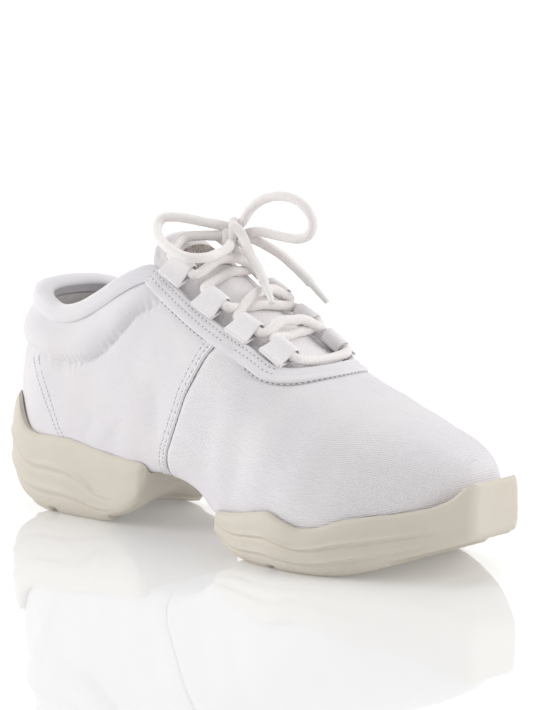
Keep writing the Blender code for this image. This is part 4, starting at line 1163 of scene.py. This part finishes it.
# Paths of the lace, laid over the photograph: its two ends at the knot, the bow and the loose ends
laceStart = [(100.2, 4.0, 121.4), (95.5, -1.5, 121.6), (90.5, -7.0, 120.3)]
laceFinish = [(91.0, 13.0, 120.0), (95.5, 15.5, 121.2), (100.0, 14.6, 121.6)]
lateralEndStart = [(107.6, 5.6, 126.2), (110.6, 6.0, 124.2), (113.6, 5.6, 121.0)]
medialEndStart = [(107.6, 10.6, 121.2)]
bowLateral = [
    (99.4, 5.0, 126.0), (97.0, 0.0, 127.2), (93.0, -3.0, 128.2), (86.8, -7.0, 129.1), (82.2, -10.0, 128.5),
    (82.4, -13.7, 125.2), (89.0, -19.0, 121.6), (98.3, -22.7, 118.5), (107.8, -22.5, 116.2),
    (113.4, -17.0, 116.1), (112.9, -8.5, 117.1), (110.9, -1.0, 118.2), (108.8, 2.2, 118.9),
]
bowMedial = [
    (108.8, 11.0, 128.6), (110.9, 12.0, 132.4), (116.7, 13.0, 137.1), (124.6, 14.0, 139.4),
    (132.6, 15.0, 138.9), (138.8, 16.0, 135.2), (141.3, 17.0, 129.6), (139.1, 17.0, 124.4),
    (133.5, 16.0, 122.3), (125.0, 15.0, 122.7), (118.0, 13.6, 123.6), (114.6, 12.0, 124.0),
]
endLateral = [(112.4, 6.2, 119.4), (119.2, 3.0, 115.9), (126.4, 0.0, 111.3), (132.0, -2.4, 106.3)]
endMedial = [
    (112.4, 13.1, 120.1), (118.0, 16.0, 117.3), (124.6, 18.0, 113.6), (131.0, 20.0, 108.4),
    (136.6, 21.0, 103.9),
]
# The knot's two turns stand on the same line across the bow, each as an ellipse
knot = dict(
    middle=np.array([106.5, 9.5, 121.8]), across=(0.67, -0.74, 0.0),
    turns=[
        dict(moved=(-1.6, -1.0, 0.3), wide=3.9, high=5.3),
        dict(moved=(-3.8, -2.6, -2.6), wide=3.0, high=3.9),
    ],
)
aglet = dict(length=11.5, radius=1.75, gap=0.1, droop=-0.6, tipLength=0.9, squash=0.96)


def laceRoute():
    # from the knot down through the eight loops, across the front and back up
    sides = [lateral, medial, lateral, medial]
    points = [np.array(place) for place in laceStart]
    for row, side in enumerate(sides):
        points += [through(row, side, place) for place in (-lace["run"], 0, lace["run"])]
        if row < 3:
            points += strand(points[-1], through(row + 1, -side, -lace["run"]), True)
    front = (points[-1] + through(3, -sides[3], lace["run"])) / 2
    lift = np.array([0, 0, lace["diameter"] / 2 + lace["gap"]])
    points.append(onTongue(front[0] + lace["frontShift"], 0) + lift)
    for row in (3, 2, 1, 0):
        side = -sides[row]
        points += [through(row, side, place) for place in (lace["run"], 0, -lace["run"])]
        if row > 0:
            points += strand(points[-1], through(row - 1, -side, lace["run"]), False)
    return np.array([*points, *laceFinish])


def laceTube(points):
    # a round tube along the smoothed points, whose radius wanders by a product of two sine waves
    path = smoothPath(points, lace["step"])
    at = np.arange(len(path))
    wander = 1 + lace["wander"] * np.sin(at * 0.83) * np.sin(at * 0.29)
    return tubeGrid(path, lace["diameter"] / 2 * wander, lace["sides"])


def makeKnot():
    # two turns of the lace stand across the bow as ellipses, round the four strands that meet inside
    across = unit(np.array(knot["across"]))
    turn = np.radians(np.linspace(-150, 210, 26))[:, None]
    strands = []
    for made in knot["turns"]:
        wide = across * (made["wide"] * np.cos(turn))
        high = np.array([0, 0, 1.0]) * (made["high"] * np.sin(turn))
        strands.append(knot["middle"] + made["moved"] + wide + high)
    strands += [
        [laceStart[0], (103.5, 7.5, 122.0), (108.0, 11.6, 121.0), endMedial[0]],
        [laceFinish[-1], (105.0, 12.6, 120.4), (109.0, 8.6, 119.7), endLateral[0]],
        [bowLateral[0], (103.0, 8.0, 125.0), (106.5, 10.0, 126.0), bowMedial[0]],
        [bowLateral[-1], (106.6, 6.5, 119.6), (109.6, 11.5, 122.4), bowMedial[-1]],
    ]
    mesh = joinGrids("laceKnot", [laceTube(points) for points in strands])
    newPiece("laceKnot", mesh, [laceBraid], ["lace_knot"])


def makeAglet(word, end):
    # a hard tube pressed on the lace: a lip at its start, then narrower by two eases, a rounded tip
    start, before = np.array(end[-1]), np.array(end[-2])
    direction = unit(start - before + np.array([0, 0, aglet["droop"]]))
    run = np.linspace(0, aglet["length"] - aglet["tipLength"], 22)
    path = start + direction * (aglet["gap"] + run)[:, None]
    share = np.linspace(0, 1, 22)
    narrowed = 0.12 * ease(share, 0.05, 0.3) + 0.12 * ease(share, 0.5, 1.0)
    radius = aglet["radius"] * (1 + 0.03 * (share < 0.06) - narrowed)
    grid = tubeGrid(path, radius, 20, squash=aglet["squash"])
    mesh = meshFrom(word + "Aglet", *grid, merge=0.001)
    return newPiece(word + "Aglet", mesh, [tip], [word + "_aglet"])


def makeCord(name, points, node, pieces=()):
    # a length of lace as its own piece, a tube along the path
    mesh = meshFrom(name, *laceTube(points), merge=0.001)
    piece = newPiece(name, mesh, [laceBraid], [node])
    metres = toFrame(smoothPath(points, lace["step"]))
    lace["diameter"] * 0.001


makeLoops()
newPiece("laceMain", joinGrids("laceMain", [laceTube(laceRoute())]), [laceBraid], ["lace_crossings"])
makeKnot()
makeCord("lateralBow", bowLateral, "lateral_bow_loop")
makeCord("medialBow", bowMedial, "medial_bow_loop")
lateralEnd = lateralEndStart + endLateral[1:]
medialEnd = medialEndStart + endMedial
makeCord("lateralLaceEnd", lateralEnd, "lateral_lace_end", [makeAglet("lateral", endLateral)])
makeCord("medialLaceEnd", medialEnd, "medial_lace_end", [makeAglet("medial", endMedial)])
print("laces made")

# The footbed lies down on the soles and over the canvas of the arch
footbed = dict(thickness=3.0, inset=2.9, half=26.0, archEarly=14.0, archBlend=10.0)


def makeFootbed():
    # straight lines from side to side between the last's feather edges, drawn in at the rim; the
    # height is the feather edge's, plus the canvas over the arch and the thickness, both steeper
    # where the feather edge climbs
    x = np.concatenate([heelStations(24), np.linspace(bodyFrom, bodyTo, 100)[1:], toeStations(24)])
    along = (x - shoe["heel"]) / (shoe["toe"] - shoe["heel"])
    share = np.linspace(0, 1, 25)[:, None, None]
    top = lastPoint(x, lateral, 0.0)[None] * (1 - share) + lastPoint(x, medial, 0.0)[None] * share
    top[..., 0] += footbed["inset"] * (1 - 2 * along)
    top[..., 1] *= 1 - footbed["inset"] / footbed["half"]
    feather = curveAt(lastRows, "x", "feather", x)
    steep = np.sqrt(1 + np.gradient(feather, x) ** 2)
    before = np.clip((x - shoe["archFrom"] + footbed["archEarly"]) / footbed["archBlend"], 0, 1)
    after = np.clip((shoe["archTo"] + footbed["archEarly"] - x) / footbed["archBlend"], 0, 1)
    cloth = (shoe["wall"] + shoe["gap"]) * before * after * steep
    top[..., 2] = feather + shoe["gap"] + cloth + footbed["thickness"] * steep
    mesh = meshFrom("footbed", top, gridFaces(25, len(x)), np.stack([top[..., 1], top[..., 0]], -1))
    piece = newPiece("footbed", mesh, [lining], ["insole"])
    solidify(piece, footbed["thickness"])


makeFootbed()

# Soles: half widths, heights of the underside and the rim, how far the ribs stand out and droop
heelSoleRows = [
    dict(x=0, lateral=34, medial=32.5, under=13, rim=48.5, rib=0.3, droop=1.0),
    dict(x=7, lateral=34, medial=32.5, under=9.5, rim=48, rib=1, droop=1.0),
    dict(x=12, lateral=34, medial=32.5, under=7, rim=46.5, rib=1, droop=1.0),
    dict(x=17, lateral=34, medial=32.3, under=4.8, rim=40.5, rib=1, droop=1.02),
    dict(x=22, lateral=34, medial=32, under=3, rim=35.5, rib=1, droop=1.05),
    dict(x=29, lateral=34, medial=31.7, under=1, rim=33.3, rib=1, droop=1.05),
    dict(x=37, lateral=33.8, medial=31.5, under=0, rim=33.5, rib=1, droop=1.05),
    dict(x=48, lateral=33.4, medial=31.5, under=0, rim=33.5, rib=1, droop=1.0),
    dict(x=57, lateral=33, medial=31.3, under=0, rim=32.5, rib=1, droop=0.88),
    dict(x=64, lateral=32.8, medial=31, under=0.3, rim=31.2, rib=0.8, droop=0.7),
    dict(x=72, lateral=32.5, medial=30.8, under=1.7, rim=30.2, rib=0.2, droop=0.6),
    dict(x=80, lateral=32.3, medial=30.5, under=4.6, rim=29.3, rib=0, droop=0.6),
    dict(x=85, lateral=31.8, medial=30.2, under=8, rim=29, rib=0, droop=0.7),
    dict(x=88.5, lateral=30.8, medial=29.3, under=13, rim=29.2, rib=0, droop=0.8),
    dict(x=90.5, lateral=29, medial=27.5, under=20, rim=29.4, rib=0, droop=0.9),
]
# How far the back of the heel sole leans inwards at each height
heelSoleBack = [
    dict(z=6, lean=5.5), dict(z=14, lean=2.5), dict(z=22, lean=0.6), dict(z=30, lean=0),
    dict(z=40, lean=0.6), dict(z=49, lean=2.6),
]
foreSoleRows = [
    dict(x=136.5, lateral=36, medial=32, under=12.5, rim=17, rib=0, droop=1),
    dict(x=138.5, lateral=39, medial=34.5, under=8.5, rim=17.3, rib=0.4, droop=1),
    dict(x=143, lateral=41.5, medial=36.5, under=5, rim=17.8, rib=1, droop=1),
    dict(x=149, lateral=43.7, medial=39, under=2.2, rim=18.7, rib=1, droop=1),
    dict(x=156, lateral=45.7, medial=41, under=0.5, rim=20, rib=1, droop=1),
    dict(x=165, lateral=47.2, medial=43, under=0, rim=22, rib=1, droop=1),
    dict(x=173, lateral=48.2, medial=43.8, under=0, rim=23.2, rib=1, droop=1),
    dict(x=181, lateral=48.4, medial=44.2, under=0, rim=20.8, rib=1, droop=1),
    dict(x=188, lateral=47.5, medial=44, under=0, rim=18.9, rib=1, droop=1),
    dict(x=197, lateral=45.2, medial=43.4, under=0, rim=20.2, rib=1, droop=1),
    dict(x=206, lateral=41.6, medial=42, under=1, rim=23.8, rib=1, droop=1),
    dict(x=215, lateral=37.2, medial=39.6, under=3.5, rim=25.8, rib=1, droop=0.96),
    dict(x=224, lateral=31.6, medial=36.2, under=6.6, rim=27.3, rib=1, droop=0.94),
    dict(x=232, lateral=26.2, medial=31.8, under=9.3, rim=29.2, rib=0.9, droop=0.9),
    dict(x=239, lateral=21.4, medial=26.8, under=11.8, rim=31.6, rib=0.35, droop=0.85),
    dict(x=244, lateral=17.8, medial=22.8, under=13.5, rim=34.8, rib=0, droop=0.8),
    dict(x=248, lateral=14.8, medial=19.5, under=15, rim=39.3, rib=0, droop=0.72),
    dict(x=252, lateral=12, medial=16.5, under=16.8, rim=41.5, rib=0, droop=0.68),
]
# The side of a sole from the ground edge (0) to the rim (1), without its ribs
soleSideRows = [
    dict(share=0.0, stand=-5.0), dict(share=0.03, stand=-3.6), dict(share=0.09, stand=-1.7),
    dict(share=0.2, stand=-0.3), dict(share=0.35, stand=0.0), dict(share=0.6, stand=-0.2),
    dict(share=0.85, stand=-0.7), dict(share=0.95, stand=-1.4), dict(share=1.0, stand=-2.4),
]
sole = dict(
    round=28.0, power=2.2, leanTo=45.0, toeRound=3.4, scoop=4.6, scoopFrom=46, scoopTo=66,
    treadDepth=1.6, treadRamp=0.3, treadPlaces=(-0.3, -0.1, 0.1, 0.3),
    ribs=(0.31, 0.60), ribWidth=0.038, ribHeight=0.9, dip=0.5, dipBelow=0.065, dipWidth=0.03,
    backPlaces=(0.25, 0.6), nosePlaces=(249.4, 250.5, 251.0, 251.4, 251.7, 251.9),
)
foreTread = dict(start=151, grooveFrom=173, grooveTo=178, end=222)
heelTread = dict(start=26, grooveFrom=36, grooveTo=40, end=70)


def treadAt(x, tread):
    # how far the underside stands above the tread: nothing on it, a full step beside it and in its
    # groove, with a short ease between
    ramp = sole["treadRamp"]
    on = ease(x, tread["start"] - ramp, tread["start"] + ramp)
    on = on * (1 - ease(x, tread["end"] - ramp, tread["end"] + ramp))
    groove = ease(x, tread["grooveFrom"] - ramp, tread["grooveFrom"] + ramp)
    groove = groove * (1 - ease(x, tread["grooveTo"] - ramp, tread["grooveTo"] + ramp))
    return sole["treadDepth"] * (1 - on * (1 - groove))


def loftMesh(name, ring, startFace=True):
    # rings of points along the foot as one closed mesh; a start that is a single line needs no face
    many, columns = ring.shape[:2]
    index = np.arange(many * columns).reshape(many, columns)
    faces = gridFaces(many, columns).tolist()
    faces += np.stack([index[0, 1:], index[0, :-1], index[-1, :-1], index[-1, 1:]], -1).tolist()
    faces.append(index[::-1, -1].tolist())
    if startFace:
        faces.append(index[:, 0].tolist())
    mesh = bpy.data.meshes.new(name)
    mesh.from_pydata(toFrame(ring).reshape(-1, 3).tolist(), [], faces)
    return mergeDoubles(mesh)


def soleBlock(name, rows, tread, back):
    # a loft along the foot: each section rises from the ground edge to the rim, and its half width is
    # the sole's own plus the side's profile plus a bell for each rib less one for the dip below it.
    # The heel closes as a rounded end, and the toe block's last edge as a quarter circle
    x = np.arange(rows[0]["x"], rows[-1]["x"], 1.0)
    steps = [tread[key] + d for key in tread for d in sole["treadPlaces"]]
    ends = sole["backPlaces"] if back else sole["nosePlaces"]
    x = np.unique(np.round(np.concatenate([x, steps, ends, [rows[-1]["x"]]]), 3))
    share = np.concatenate([[0, 0.012, 0.03, 0.055], np.linspace(0.085, 0.93, 46), [0.955, 0.975, 0.99, 1.0]])
    share = share[:, None]
    rim = curveAt(rows, "x", "rim", x)
    under = np.maximum(curveAt(rows, "x", "under", x), 0)
    nose = np.clip((x - rows[-1]["x"] + sole["toeRound"]) / sole["toeRound"], 0, 1) * (not back)
    drawn = sole["toeRound"] * (1 - np.sqrt(1 - nose**2))
    rim, under = rim - drawn, under + drawn
    z = under + (rim - under) * share + treadAt(x, tread) * (1 - ease(share, 0.0, 0.12))
    raised = 0
    for place in sole["ribs"]:
        away = share / curveAt(rows, "x", "droop", x) - place
        dip = sole["dip"] * hump(away + sole["dipBelow"], sole["dipWidth"])
        raised = raised + hump(away, sole["ribWidth"]) - dip
    raised = raised * sole["ribHeight"] * curveAt(rows, "x", "rib", x)
    stand = curveAt(soleSideRows, "share", "stand", share)
    turn = np.clip((sole["round"] - x) / sole["round"], 0, 1) * bool(back)
    narrowed = (1 - turn ** sole["power"]) ** (1 / sole["power"])
    lean = curveAt(back, "z", "lean", z) * np.clip(1 - x / sole["leanTo"], 0, 1) ** 2 if back else 0
    sides = []
    for side, column in ((lateral, "lateral"), (medial, "medial")):
        half = curveAt(rows, "x", column, x) + stand + raised - drawn
        sides.append(np.stack([x + lean - (stand + raised) * turn**2, side * half * narrowed, z], -1))
    across = np.linspace(0, 1, 24)[1:-1, None, None]
    bottom = sides[1][0][None] * (1 - across) + sides[0][0][None] * across
    if back:
        middle = np.sin(math.pi * across[..., 0]) ** 1.3
        bottom[..., 2] += sole["scoop"] * ease(x, sole["scoopFrom"], sole["scoopTo"]) * middle
    ring = np.concatenate([sides[0], sides[1][::-1], bottom])
    if back:
        ring[..., 0] -= ring[..., 0].min()
    return loftMesh(name, ring, startFace=not back)


def lastForm():
    # the closed last, a little larger than the upper, that hollows the soles
    x = np.concatenate([heelStations(24), np.linspace(bodyFrom, bodyTo, 80)[1:], toeStations(26)])
    run = np.concatenate([np.linspace(0, 0.28, 20), [0.30, 0.32, 0.34, 0.38, 0.45, 0.5, 0.6, 0.75, 1]])
    sides = []
    for side in (lateral, medial):
        points = lastPoint(x[None], side, run[:, None], shoe["gap"])
        points[-1, :, 1] = 0
        sides.append(points)
    return loftMesh("lastForm", np.concatenate([sides[0], sides[1][::-1]]))


def makeSoles():
    # each block is hollowed by the last
    cutter = bpy.data.objects.new("lastForm", lastForm())
    bpy.context.scene.collection.objects.link(cutter)
    for name, rows, tread, back, node in (
        ("heelSole", heelSoleRows, heelTread, heelSoleBack, "heel_sole"),
        ("foreSole", foreSoleRows, foreTread, None, "forefoot_sole"),
    ):
        block = bpy.data.objects.new(name + "Block", soleBlock(name + "Block", rows, tread, back))
        bpy.context.scene.collection.objects.link(block)
        hollow = block.modifiers.new("hollow", "BOOLEAN")
        hollow.operation = "DIFFERENCE"
        hollow.object = cutter
        hollow.solver = "EXACT"
        done = block.evaluated_get(bpy.context.evaluated_depsgraph_get())
        mesh = bpy.data.meshes.new_from_object(done)
        mesh.name = name
        mesh.materials.clear()
        bpy.data.objects.remove(block)
        newPiece(name, mesh, [rubber], [node], sharp=38)
    bpy.data.objects.remove(cutter)


makeSoles()
print("soles made")

# The floor and the lights of a white studio. The world is bright where the camera or a reflection
# sees it, and dimmer as a light, so that the lamps shape the shoe
studio = dict(
    world=1.52, ambient=0.55, floor=(0.79, 0.79, 0.79), floorRoughness=0.03, emission=0.14, half=6.0,
    target=(0, 0, 0.05),
    lights=[
        dict(name="key", place=(-1.1, -0.95, 0.55), size=0.8, power=10.8),
        dict(name="fill", place=(1.1, 0.6, 0.62), size=0.8, power=7.2),
        dict(name="top", place=(-0.1, 0.45, 1.15), size=1.0, power=3.8),
    ],
)


def makeStudio():
    # the world's strength goes from the dim value to the bright one by which kind of ray looks at it
    world = bpy.data.worlds.new("white studio")
    bpy.context.scene.world = world
    tree = NodeTree(world)
    seen = tree.node("ShaderNodeLightPath", output="Is Camera Ray")
    seen = seen.most(tree.node("ShaderNodeLightPath", output="Is Glossy Ray"))
    values = {"Value": seen, "To Min": studio["ambient"], "To Max": studio["world"]}
    background = tree.nodes["Background"]
    tree.feed(background.inputs["Strength"], tree.node("ShaderNodeMapRange", None, values))
    tree.feed(background.inputs["Color"], (1, 1, 1, 1))
    finish = Finish("white floor", studio["floor"], studio["floorRoughness"])
    finish.set("Emission Strength", studio["emission"])
    finish.set("Emission Color", (1, 1, 1, 1))
    half = studio["half"]
    corners = [(-half, -half, 0), (half, -half, 0), (half, half, 0), (-half, half, 0)]
    mesh = bpy.data.meshes.new("floor")
    mesh.from_pydata(corners, [], [(0, 1, 2, 3)])
    mesh.materials.append(finish.material)
    floor = bpy.data.objects.new("floor", mesh)
    bpy.context.scene.collection.objects.link(floor)
    for lamp in studio["lights"]:
        light = bpy.data.objects.new(lamp["name"], bpy.data.lights.new(lamp["name"], "AREA"))
        light.data.size = lamp["size"]
        light.data.energy = lamp["power"]
        light.location = lamp["place"]
        aim = Vector(studio["target"]) - Vector(lamp["place"])
        light.rotation_euler = aim.to_track_quat("-Z", "Y").to_euler()
        bpy.context.scene.collection.objects.link(light)
    bpy.context.scene.view_settings.view_transform = "Standard"
    bpy.context.scene.view_settings.look = "None"


makeStudio()
